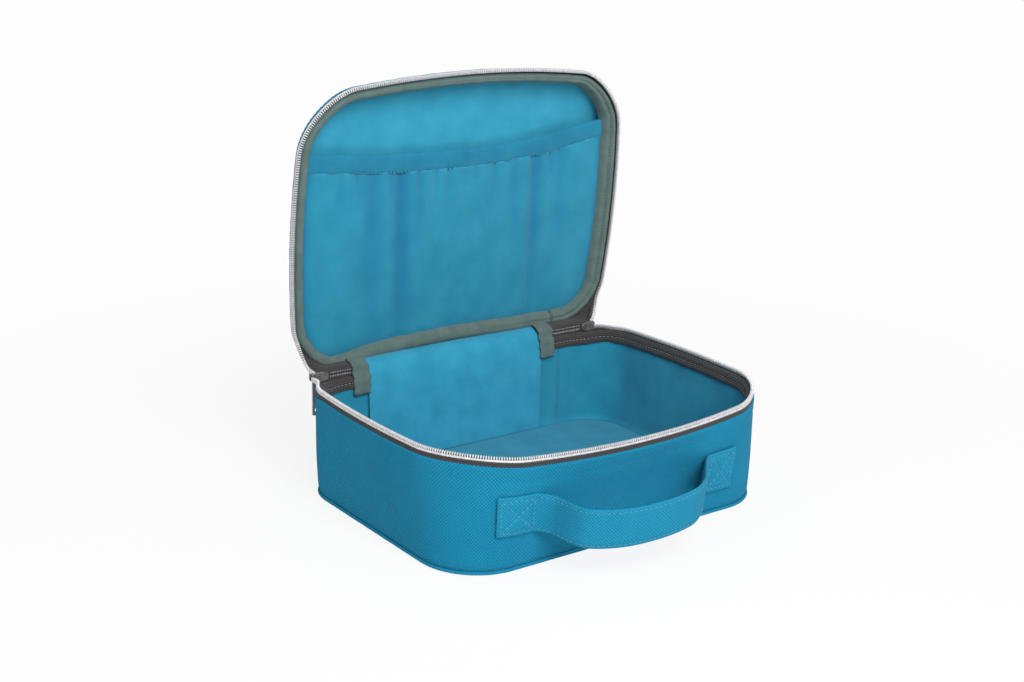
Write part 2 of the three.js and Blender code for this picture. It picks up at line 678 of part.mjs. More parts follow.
// Slider: two plates round the chain, a post between the rows and a loop for the pull
function addSlider(group, side, name) {
  const faceOut = chainThickness / 2 + sliderRun;
  const halfLength = sliderLength / 2;
  const halfHeight = chainHalfHeight;
  const noseShare = 0.75;
  const shoulderShare = 0.2;
  const nose = halfHeight * noseShare;
  const shoulder = halfLength * shoulderShare;
  const plateShape = new THREE.Shape([
    new THREE.Vector2(-halfLength, -nose), new THREE.Vector2(shoulder, -halfHeight),
    new THREE.Vector2(halfLength, -nose), new THREE.Vector2(halfLength, nose),
    new THREE.Vector2(shoulder, halfHeight), new THREE.Vector2(-halfLength, nose),
  ]);
  const plate = (y) => {
    const geometry = new THREE.ExtrudeGeometry(plateShape, { depth: sliderPlate, bevelEnabled: false });
    return geometry.rotateX(Math.PI / 2).translate(0, y + sliderPlate, 0);
  };
  const postStart = halfLength - postLength - sliderPlate;
  const post = block(postStart, postStart + postLength, -faceOut - overrun, faceOut + overrun,
    -postThickness / 2, postThickness / 2);
  const outerFace = faceOut + sliderPlate;
  const crownTop = outerFace + crownWindow + crownWall;
  const legs = [-1, 1].map((end) => {
    const inner = end * (crownHalfHeight - crownWall);
    const outer = end * crownHalfHeight;
    return block(-crownWidth / 2, crownWidth / 2, outerFace - overrun, crownTop,
      Math.min(inner, outer), Math.max(inner, outer));
  });
  const bridge = block(-crownWidth / 2, crownWidth / 2, outerFace + crownWindow, crownTop,
    -crownHalfHeight, crownHalfHeight);
  const body = joined(plate(-faceOut - sliderPlate), plate(faceOut), post, ...legs, bridge);
  const placed = (side < 0 ? mirrored(body) : body).translate(side * sliderPlace, chainY, hingeZ);
  addPiece(group, name, placed, castMetal);
}

// Pull: a flat tab whose cross bar lies in the slider's loop
function addPull(group, side, name) {
  const axisY = pullAxisY();
  const barHalf = pullThickness / 2;
  const halfWidth = pullWidth / 2;
  const tab = new THREE.Shape([
    new THREE.Vector2(-halfWidth, barHalf - pullLength), new THREE.Vector2(halfWidth, barHalf - pullLength),
    new THREE.Vector2(halfWidth, barHalf), new THREE.Vector2(-halfWidth, barHalf),
  ]);
  const eye = new THREE.Path([
    new THREE.Vector2(-pullEyeHalfWidth, -barHalf), new THREE.Vector2(pullEyeHalfWidth, -barHalf),
    new THREE.Vector2(pullEyeHalfWidth, -barHalf - pullEyeLength),
    new THREE.Vector2(-pullEyeHalfWidth, -barHalf - pullEyeLength),
  ]);
  tab.holes.push(eye);
  const geometry = new THREE.ExtrudeGeometry(tab, { depth: pullThickness, bevelEnabled: false });
  geometry.rotateX(Math.PI / 2).translate(side * sliderPlace, axisY + barHalf, hingeZ);
  addPiece(group, name, geometry, pullMetal);
}

function pullAxisY() {
  return chainY + chainThickness / 2 + sliderRun + sliderPlate + crownWindow / 2;
}

const bag = new THREE.Group();
addBottom(bag);
addWalls(bag);
addBodyZip(bag);
addHingeFold(bag);
addHandle(bag);
for (const [side, word] of [[-1, "left"], [1, "right"]]) {
  addChain(bag, side, "chain_" + word);
  addEndTab(bag, side, "end_tab_" + word);
  addSlider(bag, side, "slider_" + word);
  addPull(bag, side, "pull_" + word);
}

// The lid is built shut and then turned open about the hinge axis
const shutLid = new THREE.Group();
addLid(shutLid);
shutLid.position.set(0, -hingeY, -hingeZ);
const lid = new THREE.Group();
lid.position.set(0, hingeY, hingeZ);
lid.rotation.x = -THREE.MathUtils.degToRad(lidAngle);
lid.add(shutLid);
bag.add(lid);

export default bag;
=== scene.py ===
import math

import bpy
import numpy as np
from mathutils import Matrix, Vector


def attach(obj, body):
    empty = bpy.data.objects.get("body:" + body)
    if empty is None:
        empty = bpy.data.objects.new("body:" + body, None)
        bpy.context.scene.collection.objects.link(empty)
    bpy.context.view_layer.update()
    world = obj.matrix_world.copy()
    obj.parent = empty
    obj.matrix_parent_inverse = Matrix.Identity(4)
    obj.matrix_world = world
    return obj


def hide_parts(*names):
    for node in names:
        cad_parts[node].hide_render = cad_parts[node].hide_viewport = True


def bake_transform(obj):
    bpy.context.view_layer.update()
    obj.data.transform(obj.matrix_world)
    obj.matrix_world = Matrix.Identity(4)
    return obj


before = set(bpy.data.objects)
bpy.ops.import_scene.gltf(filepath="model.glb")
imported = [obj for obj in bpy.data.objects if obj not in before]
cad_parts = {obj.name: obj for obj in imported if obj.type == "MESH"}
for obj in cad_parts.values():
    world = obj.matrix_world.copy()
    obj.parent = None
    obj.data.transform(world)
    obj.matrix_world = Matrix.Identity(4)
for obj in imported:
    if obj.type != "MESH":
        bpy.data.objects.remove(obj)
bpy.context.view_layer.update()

# Camera and studio: a plain white table in a light tent, a broad soft lamp in front and to the
# right, and a weaker one at the left. Lengths in this script are in millimetres unless a line
# turns them into metres.
MM = 0.001
photo_width = 1024
sensor = 36.0
focal_pixels = 1629.67
view_turn = math.radians(-37.24)
view_rise = math.radians(17.39)
view_roll = math.radians(1.84)
view_distance = 1103.8
view_target = Vector((0.7, 26.1, 95.2))
frame_offset = (6.4, 6.2)  # the object's place in the frame, in pixels

toward_camera = Vector((
    math.sin(view_turn) * math.cos(view_rise),
    -math.cos(view_turn) * math.cos(view_rise),
    math.sin(view_rise),
))
level = Vector((math.cos(view_turn), math.sin(view_turn), 0))
upright = toward_camera.cross(level)
camera_right = level * math.cos(view_roll) + upright * math.sin(view_roll)
camera_up = upright * math.cos(view_roll) - level * math.sin(view_roll)
camera_data = bpy.data.cameras.new("camera")
camera = bpy.data.objects.new("camera", camera_data)
bpy.context.scene.collection.objects.link(camera)
turn = Matrix((camera_right, camera_up, toward_camera)).transposed()
place = (view_target + toward_camera * view_distance) * MM
camera.matrix_world = Matrix.Translation(place) @ turn.to_4x4()
camera_data.sensor_width = sensor
camera_data.lens = focal_pixels / photo_width * sensor
camera_data.shift_x = -frame_offset[0] / photo_width
camera_data.shift_y = frame_offset[1] / photo_width
camera_data.clip_start = 10 * MM
camera_data.clip_end = 20000 * MM
bpy.context.scene.camera = camera
bpy.context.scene.view_settings.view_transform = "Standard"


def lamp(name, power, size, at, aim):
    """A square soft lamp that shines from one point towards another."""
    data = bpy.data.lights.new(name, "AREA")
    data.energy = power
    data.size = size * MM
    made = bpy.data.objects.new(name, data)
    bpy.context.scene.collection.objects.link(made)
    made.location = Vector(at) * MM
    made.rotation_euler = (Vector(at) - Vector(aim)).to_track_quat("Z", "Y").to_euler()


lamp_aim = (0, 0, 90)
lamp("front_lamp", 26, 1000, (-300, -1200, 1080), lamp_aim)
lamp("side_lamp", 1.5, 900, (-1350, 500, 500), lamp_aim)


def linear(code):
    """An sRGB hex colour as the linear colour that a shader takes."""
    shares = [int(code[i:i + 2], 16) / 255 for i in (1, 3, 5)]
    return [s / 12.92 if s <= 0.04045 else ((s + 0.055) / 1.055) ** 2.4 for s in shares] + [1]


def node(tree, kind, *values, named=None, **settings):
    """Adds a node with its settings. A socket, by its place or its name, takes a value, another
    node's first output, or the output that is given."""
    made = tree.nodes.new("ShaderNode" + kind)
    for name, value in settings.items():
        setattr(made, name, value)
    for name, value in [*enumerate(values), *(named or {}).items()]:
        if isinstance(value, bpy.types.Node):
            value = value.outputs[0]
        if isinstance(value, bpy.types.NodeSocket):
            tree.links.new(value, made.inputs[name])
        else:
            made.inputs[name].default_value = value
    return made


def new_material(name):
    """An empty material and its tree of nodes."""
    made = bpy.data.materials.new(name)
    made.use_nodes = True
    made.node_tree.nodes.clear()
    return made, made.node_tree


def seen_or_mirrored(tree):
    """1 for rays from the camera, from a mirror or through glass."""
    rays = node(tree, "LightPath").outputs
    either = node(tree, "Math", rays["Is Camera Ray"], rays["Is Glossy Ray"], operation="MAXIMUM")
    return node(tree, "Math", either, rays["Is Transmission Ray"], operation="MAXIMUM")


world = bpy.data.worlds.new("light_tent")
bpy.context.scene.world = world
world.use_nodes = True
tree = world.node_tree
tree.nodes.clear()
tent = node(tree, "Background", linear("#ffffff"), 0.5)
backdrop = node(tree, "Background", linear("#fdfdfd"), 1)
node(tree, "OutputWorld", node(tree, "MixShader", seen_or_mirrored(tree), tent, backdrop))

# The table: most of its white is its own glow for the camera, so that only a light shadow shows,
# and away from the bag it is all glow, like the backdrop.
table_half = 6000
table_drop = 0.2  # below the bag, so that the two faces don't flicker
shadow_reach, glow_reach = 200, 620
table_white, tree = new_material("white_table")
glow = node(tree, "Emission", linear("#ffffff"), 0.85)
paint = node(tree, "BsdfDiffuse", (0.12, 0.12, 0.12, 1))
near = node(tree, "AddShader", glow, paint)
distant = node(tree, "Emission", linear("#fdfdfd"), 1)
away = node(tree, "VectorMath", node(tree, "NewGeometry").outputs["Position"], operation="LENGTH")
far_share = node(tree, "MapRange", away.outputs["Value"], shadow_reach * MM, glow_reach * MM, 0, 1)
bright = node(tree, "MixShader", far_share, near, distant)
bounce = node(tree, "BsdfDiffuse", linear("#e8e8e8"))
node(tree, "OutputMaterial", node(tree, "MixShader", seen_or_mirrored(tree), bounce, bright))
table_mesh = bpy.data.meshes.new("table")
corners = [(x * table_half * MM, y * table_half * MM, -table_drop * MM)
           for x, y in ((-1, -1), (1, -1), (1, 1), (-1, 1))]
table_mesh.from_pydata(corners, [], [(0, 1, 2, 3)])
table_mesh.materials.append(table_white)
table = bpy.data.objects.new("table", table_mesh)
bpy.context.scene.collection.objects.link(table)

# Walls of the bag: coarse woven polyester, 1.2 mm thick, with a thin sheet of foam behind it. One
# length runs round the front and sides and one across the rear, and they are sewn together at the
# two rear seams. The top edge is turned in over the zip's tape and held by a row of stitches.
half_width = 130.0
half_depth = 94.5
wall_top = 71.5
seam_x = 88.0
bottom_radius = 40.0
rim_radius = 44.0
rear_radius = 34.0
side_bow = 7.0
front_bow = 14.0
rim_dip = 5.0
corner_steps = 24
side_steps = 40
front_steps = 64
rear_steps = 64


def plan_line(front_radius, side, front, dip):
    """The bag's plan at one height, clockwise from the right rear seam round the front and back
    along the rear. Each row has x, y, how far the edge sags, and the outward direction."""
    quarter = math.pi / 2
    rear_side = half_width - rear_radius
    front_side = half_width - front_radius
    rear_middle = half_depth - rear_radius
    front_middle = front_radius - half_depth

    def straight(x0, y0, x1, y1, steps):
        share = np.linspace(0, 1, steps + 1)[1:, None]
        return np.array([[x0, y0]]) * (1 - share) + np.array([[x1, y1]]) * share

    def bend(x, y, radius, start):
        angle = start - np.linspace(0, quarter, corner_steps + 1)[1:]
        return np.c_[x + radius * np.cos(angle), y + radius * np.sin(angle)]

    flat = np.vstack([
        np.array([[seam_x, half_depth]]),
        straight(seam_x, half_depth, rear_side, half_depth, 3),
        bend(rear_side, rear_middle, rear_radius, quarter),
        straight(half_width, rear_middle, half_width, front_middle, side_steps),
        bend(front_side, front_middle, front_radius, 0),
        straight(front_side, -half_depth, -front_side, -half_depth, front_steps),
        bend(-front_side, front_middle, front_radius, -quarter),
        straight(-half_width, front_middle, -half_width, rear_middle, side_steps),
        bend(-rear_side, rear_middle, rear_radius, -2 * quarter),
        straight(-rear_side, half_depth, -seam_x, half_depth, 3),
        straight(-seam_x, half_depth, seam_x, half_depth, rear_steps)[:-1],
    ])
    across = flat[:, 0] / half_width
    forward = -flat[:, 1] / half_depth
    fore = np.maximum(0, forward)
    x = flat[:, 0] + side * np.sign(across) * across ** 4 * (1 - forward ** 2)
    y = flat[:, 1] - front * fore ** 4 * (1 - across ** 2)
    sag = dip * fore ** 2 * (1 - across ** 2)
    step_x = np.roll(x, -1) - np.roll(x, 1)
    step_y = np.roll(y, -1) - np.roll(y, 1)
    long = np.hypot(step_x, step_y)
    return np.c_[x, y, sag, -step_y / long, step_x / long]


bottom_line = plan_line(bottom_radius, 0, 0, 0)
rim_line = plan_line(rim_radius, side_bow, front_bow, rim_dip)
station_count = len(rim_line)
seam_end = station_count - rear_steps
whole_run = np.arange(station_count)
front_run = np.arange(seam_end + 1)
rear_run = np.r_[np.arange(seam_end, station_count), 0]
rim_length = np.r_[0, np.cumsum(np.hypot(np.diff(rim_line[:, 0]), np.diff(rim_line[:, 1])))]


def body_points(run, height, inset):
    """Points of the bag's body at a height and a distance in from its outer face."""
    share = np.clip(np.asarray(height, float) / wall_top, 0, 1) * np.ones(len(run))
    low, high = bottom_line[run], rim_line[run]
    line = low * (1 - share[:, None]) + high * share[:, None]
    out = line[:, 3:5] / np.linalg.norm(line[:, 3:5], axis=1)[:, None]
    inward = out * (np.asarray(inset, float) * np.ones(len(run)))[:, None]
    return np.c_[line[:, 0:2] - inward, height - high[:, 2] * share ** 2]


def waves(u, v, length, seed):
    """Gentle unevenness between about -1 and 1, from a few crossing waves about that long."""
    draw = np.random.default_rng(seed)
    total = 0
    for _ in range(7):
        way = draw.uniform(0, 2 * math.pi)
        pace = 2 * math.pi / (length * draw.uniform(0.7, 1.6))
        phase = draw.uniform(0, 2 * math.pi)
        total = total + np.sin(pace * (u * math.cos(way) + v * math.sin(way)) + phase)
    return total / 4


def crease(u, v, start, end, width):
    """1 along a straight crease from start to end, fading to 0 within width of it."""
    start, end = np.array(start, float), np.array(end, float)
    along = end - start
    share = np.clip(((u - start[0]) * along[0] + (v - start[1]) * along[1]) / (along @ along), 0, 1)
    away = np.hypot(u - start[0] - share * along[0], v - start[1] - share * along[1])
    return np.exp(-(away / width) ** 2) * np.sin(math.pi * np.clip(share, 0.08, 0.92)) ** 0.5


def add_piece(name, points, faces, material, cloth_uv=None):
    """A smooth mesh from points in millimetres, with its place on the flat cloth as a map."""
    mesh = bpy.data.meshes.new(name)
    mesh.from_pydata((np.asarray(points) * MM).tolist(), [], faces)
    mesh.polygons.foreach_set("use_smooth", [True] * len(mesh.polygons))
    mesh.materials.append(material)
    if cloth_uv is not None:
        layer = mesh.uv_layers.new(name="cloth_mm")
        corners = np.zeros(len(mesh.loops), np.int32)
        mesh.loops.foreach_get("vertex_index", corners)
        layer.data.foreach_set("uv", np.asarray(cloth_uv, np.float32)[corners].ravel())
    made = bpy.data.objects.new(name, mesh)
    bpy.context.scene.collection.objects.link(made)
    return made


def grid_faces(rows, columns, wrap=False):
    """Four-sided faces between rows of points. With wrap, the last column joins the first."""
    spans = columns if wrap else columns - 1
    return [(r * columns + c, r * columns + (c + 1) % columns,
             (r + 1) * columns + (c + 1) % columns, (r + 1) * columns + c)
            for r in range(rows - 1) for c in range(spans)]


def lengths_along(line):
    """How far each point of a line lies from its start."""
    return np.r_[0, np.cumsum(np.linalg.norm(np.diff(line, axis=0), axis=1))]


def thicken(piece, thickness, offset):
    """Gives a sheet its thickness, behind it with an offset of -1 and on both sides with 0."""
    thick = piece.modifiers.new("thickness", "SOLIDIFY")
    thick.thickness = thickness * MM
    thick.offset = offset
    thick.use_even_offset = False


def cloth_piece(name, rows, material, thickness=0.0, wrap=False):
    """A sheet of cloth through rows of points, thickened towards its back."""
    rows = np.asarray(rows, float)
    u = lengths_along(rows[len(rows) // 2])
    v = lengths_along(rows[:, rows.shape[1] // 2])
    flat = np.stack(np.meshgrid(u, v), axis=-1)
    made = add_piece(name, rows.reshape(-1, 3), grid_faces(*rows.shape[:2], wrap),
                     material, flat.reshape(-1, 2))
    if thickness:
        thicken(made, thickness, -1)
    return made


def cloth_map(tree):
    """The place on the flat cloth in millimetres, across and up."""
    place = node(tree, "UVMap", uv_map="cloth_mm")
    split = node(tree, "SeparateXYZ", place)
    return place, split.outputs[0], split.outputs[1]


def pulse(tree, value, pitch):
    """A sine wave between -1 and 1 that repeats every two pitches."""
    turn = node(tree, "Math", value, math.pi / pitch, operation="MULTIPLY")
    return node(tree, "Math", turn, operation="SINE")


def grains(scale, detail=2.0):
    """What a noise node needs for soft blotches from 0 to 1, at so many for each unit of length."""
    return {"Scale": scale, "Detail": detail, "Roughness": 0.55}


def finish_cloth(tree, colour, roughness, sheen, bumps):
    """A matt woven surface. bumps holds pairs of a height and how deep it is, in millimetres."""
    normal = {}
    for height, depth in bumps:
        sunk = {"Height": height, "Distance": depth * MM, "Strength": 1.0, **normal}
        normal = {"Normal": node(tree, "Bump", named=sunk)}
    shader = node(tree, "BsdfPrincipled", named={
        "Base Color": colour, "Roughness": roughness, "Specular IOR Level": 0.06,
        "Sheen Weight": sheen, "Sheen Roughness": 0.6, **normal})
    node(tree, "OutputMaterial", shader)


def finish_metal(tree, colour, metallic, roughness, grain, depth):
    """A cast or moulded surface with a fine grain, depth millimetres deep."""
    bump = node(tree, "Bump", named={"Height": grain, "Distance": depth * MM})
    shader = node(tree, "BsdfPrincipled", named={
        "Base Color": colour, "Metallic": metallic, "Roughness": roughness, "Normal": bump})
    node(tree, "OutputMaterial", shader)


# Polyester in a plain weave of thick matt yarn, dyed blue. The real threads lie about 0.6 mm apart,
# finer than the picture can show, so they are drawn 1.1 mm apart, which gives its dotted look.
def woven_polyester(name, thread=1.1, lit="#1b86a6", deep="#086489"):
    made, tree = new_material(name)
    place, across, up = cloth_map(tree)
    weave = node(tree, "Math", pulse(tree, across, thread), pulse(tree, up, thread),
                 operation="MULTIPLY")
    fibre = node(tree, "TexNoise", place, named=grains(1.6, 3))
    blotch = node(tree, "TexNoise", place, named=grains(0.03, 4))
    knit = node(tree, "Math", fibre, 0.7, weave, operation="MULTIPLY_ADD")
    colour = node(tree, "MixRGB", node(tree, "MapRange", knit, -0.7, 1.3, 0, 1),
                  linear(deep), linear(lit))
    worn = node(tree, "MixRGB", node(tree, "MapRange", blotch, 0.35, 0.7, 0, 0.16),
                colour, linear("#2995b6"))
    rough = node(tree, "MapRange", fibre, 0.2, 0.8, 0.78, 0.92)
    finish_cloth(tree, worn, rough, 0.02, [(weave, 0.14), (fibre, 0.1)])
    return made


bag_cloth = woven_polyester("woven_polyester")
cloth_thickness = 1.2
wall_low = 2.3
wall_levels = 34
wall_wave = 0.55
rim_stitch_drop = 9.5  # how far below the top edge its stitches run


def wall_rows(run, low, top, levels):
    """The wall's outer face, row by row, with the unevenness of soft cloth."""
    along = rim_length[run]
    rows = []
    for height in np.linspace(low, top, levels):
        rise = (height - low) / (top - low)
        held = np.sin(math.pi * np.clip(rise, 0, 1)) ** 0.6
        uneven = wall_wave * held * waves(along, height, 74, 3)
        pucker = 0.16 * np.exp(-(top - height) / 7) * waves(along, height * 0.15, 9, 5)
        pinch = 1.1 * np.exp(-(height - low) / 1.6)
        stitched = top - rim_stitch_drop
        seam = ((along[0] - 1, stitched), (along[-1] + 1, stitched))
        tuck = 0.35 * crease(along, height, *seam, 1.4)
        dent = 0
        for start, end, width, depth in wall_creases:
            dent = dent + depth * crease(along, height, start, end, width)
        rows.append(body_points(run, height, uneven + pucker + pinch + tuck + dent))
    return rows


left_side = rim_length[seam_end] - 128  # the middle of the left side, along the wall
front_middle_along = rim_length[seam_end] / 2
wall_creases = [
    ((left_side + 10, 36), (left_side - 6, 44), 3.0, 0.5),
    ((left_side - 26, 22), (left_side - 2, 30), 4.0, 0.5),
    ((left_side - 60, 52), (left_side - 40, 30), 6.0, 0.6),
    ((front_middle_along - 60, 20), (front_middle_along - 20, 52), 12.0, 0.9),
    ((front_middle_along + 30, 14), (front_middle_along + 44, 46), 8.0, 0.7),
    ((150, 18), (175, 40), 6.0, 0.5),
]

front_rows = wall_rows(front_run, wall_low, wall_top, wall_levels)
lip_steps = 5
lip_roll = 0.6  # how far the cloth rolls past its edge where it is folded over
lip_hem = 2.0
turned_lip = []  # how far each row stands past the edge, and its inset
for i in range(1, lip_steps + 1):
    fold = math.pi * i / lip_steps
    past = lip_roll * math.sin(fold) - lip_hem * max(0, i - lip_steps + 1)
    turned_lip.append((past, cloth_thickness / 2 * (1 - math.cos(fold)) + 0.1))
front_rows += [body_points(front_run, wall_top + past, inset) for past, inset in turned_lip]
zip_dip = 2.2  # how far the top edge dips at the rear corners, where the zip leaves it
dip_foot, dip_rise = 58, 12  # the height at which the dip starts to show, and over how much
dip_stations = [2, 6, 20, 28]
corner_dip = np.interp(front_run, dip_stations + [seam_end - s for s in dip_stations[::-1]],
                       [0, zip_dip, zip_dip, 0] * 2)
for row in front_rows:
    row[:, 2] -= corner_dip * np.clip((row[:, 2] - dip_foot) / dip_rise, 0, 1)
front_cloth = cloth_piece("front_cloth", front_rows, bag_cloth)
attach(front_cloth, "base")
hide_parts("front_gusset", "wall_foam")

# Rear wall: the same cloth across the rear, sewn to the front length at the two rear seams, and
# left lower than the front so that the hinge cloth can be sewn to it.
hinge_y = 95.0
hinge_z = 75.2
rear_wall_top = hinge_z - 4.6
rear_rows = wall_rows(rear_run, wall_low, rear_wall_top, 30)
rear_cloth = cloth_piece("rear_cloth", rear_rows, bag_cloth, cloth_thickness)
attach(rear_cloth, "base")
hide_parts("rear_wall")


# Stitches: thick polyester thread a shade lighter than the cloth, each stitch a short raised bead
# with both ends sunk into the cloth. The real ones are 3 mm long with a small gap between them.
def bead(length, width, height, sides=6, rings=5, round_power=1.0):
    """A closed rounded lump, and with a power below 1 a rounded block, as points and faces."""
    points = [(-length / 2, 0, 0)]
    for i in range(1, rings):
        lean = math.pi * i / rings - math.pi / 2
        reach = math.cos(lean) ** round_power
        along = math.copysign(abs(math.sin(lean)) ** round_power, lean) * length / 2
        for j in range(sides):
            spin = 2 * math.pi * (j + 0.5) / sides
            across = math.copysign(abs(math.cos(spin)) ** round_power, math.cos(spin))
            up = math.copysign(abs(math.sin(spin)) ** round_power, math.sin(spin))
            points.append((along, reach * across * width / 2, reach * up * height / 2))
    points.append((length / 2, 0, 0))
    last = len(points) - 1
    faces = [(0, 1 + (j + 1) % sides, 1 + j) for j in range(sides)]
    for i in range(rings - 2):
        here, there = 1 + i * sides, 1 + (i + 1) * sides
        faces += [(here + j, here + (j + 1) % sides, there + (j + 1) % sides, there + j)
                  for j in range(sides)]
    top = 1 + (rings - 2) * sides
    faces += [(last, top + j, top + (j + 1) % sides) for j in range(sides)]
    return np.array(points), faces


def read_off(table, long, at):
    """The rows of a table that belong to places between the points of its line."""
    return np.stack([np.interp(at, long, column) for column in table.T], axis=-1)


def spaced(line, out, pitch):
    """Places, directions and outward directions at even steps along a line."""
    long = lengths_along(line)
    count = max(1, int(long[-1] / pitch))
    at = (np.arange(count) + 0.5) * long[-1] / count
    step = read_off(line, long, at + 0.4) - read_off(line, long, at - 0.4)
    ahead = step / np.linalg.norm(step, axis=1)[:, None]
    outward = read_off(out, long, at)
    outward -= ahead * (outward * ahead).sum(1)[:, None]
    outward /= np.linalg.norm(outward, axis=1)[:, None]
    return read_off(line, long, at), ahead, outward


def repeated(name, shape, places, ahead, outward, material):
    """One piece from copies of a small shape, its length ahead and its third axis outward."""
    points, faces = shape
    side = np.cross(outward, ahead)
    all_points, all_faces = [], []
    for at, x, y, z in zip(places, ahead, side, outward):
        all_faces += [tuple(len(all_points) * len(points) + v for v in face) for face in faces]
        all_points.append(at + points[:, :1] * x + points[:, 1:2] * y + points[:, 2:] * z)
    return add_piece(name, np.concatenate(all_points), all_faces, material)


def sewing_thread(name, code):
    """Twisted polyester thread, a little fuzzy."""
    made, tree = new_material(name)
    place = node(tree, "TexCoord").outputs["Object"]
    fuzz = node(tree, "TexNoise", place, named=grains(900))
    pale = [c + (1 - c) * 0.14 for c in linear(code)[:3]] + [1]
    colour = node(tree, "MixRGB", fuzz, linear(code), pale)
    finish_cloth(tree, colour, 0.7, 0.1, [(fuzz, 0.1)])
    return made


blue_thread = sewing_thread("blue_polyester_thread", "#2a93b5")
stitch_pitch = 3.4
stitch_shape = bead(2.7, 0.55, 0.5)


def stitch_row(name, line, out, body, slot, thread=blue_thread, pitch=stitch_pitch,
               shape=stitch_shape):
    """A row of stitches along a line on a surface."""
    made = repeated(name, shape, *spaced(np.asarray(line), np.asarray(out), pitch), thread)
    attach(made, body)
    return made


def wall_line(run, height, inset):
    """A line on the wall and the outward directions along it."""
    line = rim_line[run]
    return body_points(run, height, inset), np.c_[line[:, 3:5], np.zeros(len(run))]


stitch_row("rim_stitches", *wall_line(front_run, wall_top - rim_stitch_drop, 0.55),
           "base", "woven_cloth")
seam_heights = np.linspace(wall_low + 3, rear_wall_top - 2, 40)
for word, side in (("right", 1), ("left", -1)):
    seam_line = [[side * (seam_x - 3), half_depth - 0.2, height] for height in seam_heights]
    stitch_row("rear_seam_stitches_" + word, seam_line, [[0.0, 1.0, 0.0]] * len(seam_heights),
               "base", "woven_cloth")

# Bottom: a cloth panel under a stiff board, joined to the walls by a cord piped with the same
# cloth. The piping is sewn in all round and is the edge that the bag stands on.
piping_radius = 1.1
piping_out = 0.5
piping_height = 1.2


def tube_piece(name, line, radius, material, sides=10, wrap=True, uneven=0.0):
    """A round cord along a line, with a little unevenness where the cloth is gathered on it."""
    line = np.asarray(line, float)
    ahead = np.roll(line, -1, 0) - np.roll(line, 1, 0)
    if not wrap:
        ahead[0], ahead[-1] = line[1] - line[0], line[-1] - line[-2]
    ahead /= np.linalg.norm(ahead, axis=1)[:, None]
    side = np.cross(ahead, [0, 0, 1.0])
    side /= np.linalg.norm(side, axis=1)[:, None]
    up = np.cross(side, ahead)
    long = lengths_along(line)
    rows = []
    for j in range(sides + 1):
        spin = 2 * math.pi * j / sides
        reach = radius * (1 + uneven * waves(long, 4.0 * j / sides, 6, 11))[:, None]
        rows.append(line + reach * (side * math.cos(spin) + up * math.sin(spin)))
    return cloth_piece(name, rows, material, 0.0, wrap)


bottom_piping_line = body_points(whole_run, piping_height, piping_radius - piping_out)
bottom_piping = tube_piece("piping_cord", bottom_piping_line, piping_radius, bag_cloth, uneven=0.05)
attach(bottom_piping, "base")
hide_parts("bottom_piping")


def filled_rows(edge, levels, shape):
    """Rows that shrink from an edge to its middle. shape gives each row's height change."""
    middle = np.array([0.0, 0.0, edge[:, 2].mean()])
    rows = []
    for share in levels:
        row = middle + (edge - middle) * share
        row[:, 2] = edge[:, 2] * share + middle[2] * (1 - share)
        rows.append(row + shape(row, share))
    return np.array(rows)


def with_middle(rows):
    """The points of rows that shrink to a middle, with that middle point last."""
    return np.vstack([rows.reshape(-1, 3), rows[-1].mean(0)[None]])


def panel_piece(name, rows, material, flat_rows=None):
    """A sheet that fills a closed line, mapped straight down on its cloth."""
    rows = np.asarray(rows)
    flat = with_middle(rows if flat_rows is None else np.asarray(flat_rows))
    count = rows.shape[1]
    faces = grid_faces(len(rows), count, wrap=True)
    last = (len(rows) - 1) * count
    faces += [(last + c, last + (c + 1) % count, last + count) for c in range(count)]
    return add_piece(name, with_middle(rows), faces, material, flat[:, :2])


ring_shares = [1.0, 0.97, 0.93, 0.88, 0.8, 0.7, 0.6, 0.48, 0.36, 0.24, 0.12]
underside_edge = body_points(whole_run, 0.6, 1.5)


def underside_shape(row, share):
    """The bottom cloth is flat but for a slight unevenness in its middle."""
    lift = 0.25 * waves(row[:, 0], row[:, 1], 60, 21) * (1 - share)
    return np.c_[np.zeros((len(row), 2)), np.maximum(lift, -0.2)]


underside_rows = filled_rows(underside_edge, ring_shares, underside_shape)
underside = panel_piece("underside_cloth", underside_rows, bag_cloth)
thicken(underside, 0.8, 0)
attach(underside, "base")
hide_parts("bottom_panel")


# Grey millboard, pressed from waste paper, with small flecks. It lies hidden between the bottom
# cloth and the lining and keeps the bottom flat.
def millboard(name):
    made, tree = new_material(name)
    place = node(tree, "TexCoord").outputs["Object"]
    fleck = node(tree, "TexNoise", place, named=grains(700, 4))
    colour = node(tree, "MixRGB", node(tree, "MapRange", fleck, 0.35, 0.7, 0, 1),
                  linear("#8f897f"), linear("#b0aa9e"))
    finish_cloth(tree, colour, 0.9, 0.0, [(fleck, 0.1)])
    return made


board_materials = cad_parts["bottom_board"].data.materials
board_materials.clear()
board_materials.append(millboard("grey_millboard"))

# Lining of the bag: thin plain-woven polyester with a calendered, slightly shiny face, sewn in
# loose as a floor and a wall, so that it lies in shallow folds at corners and under the binding.


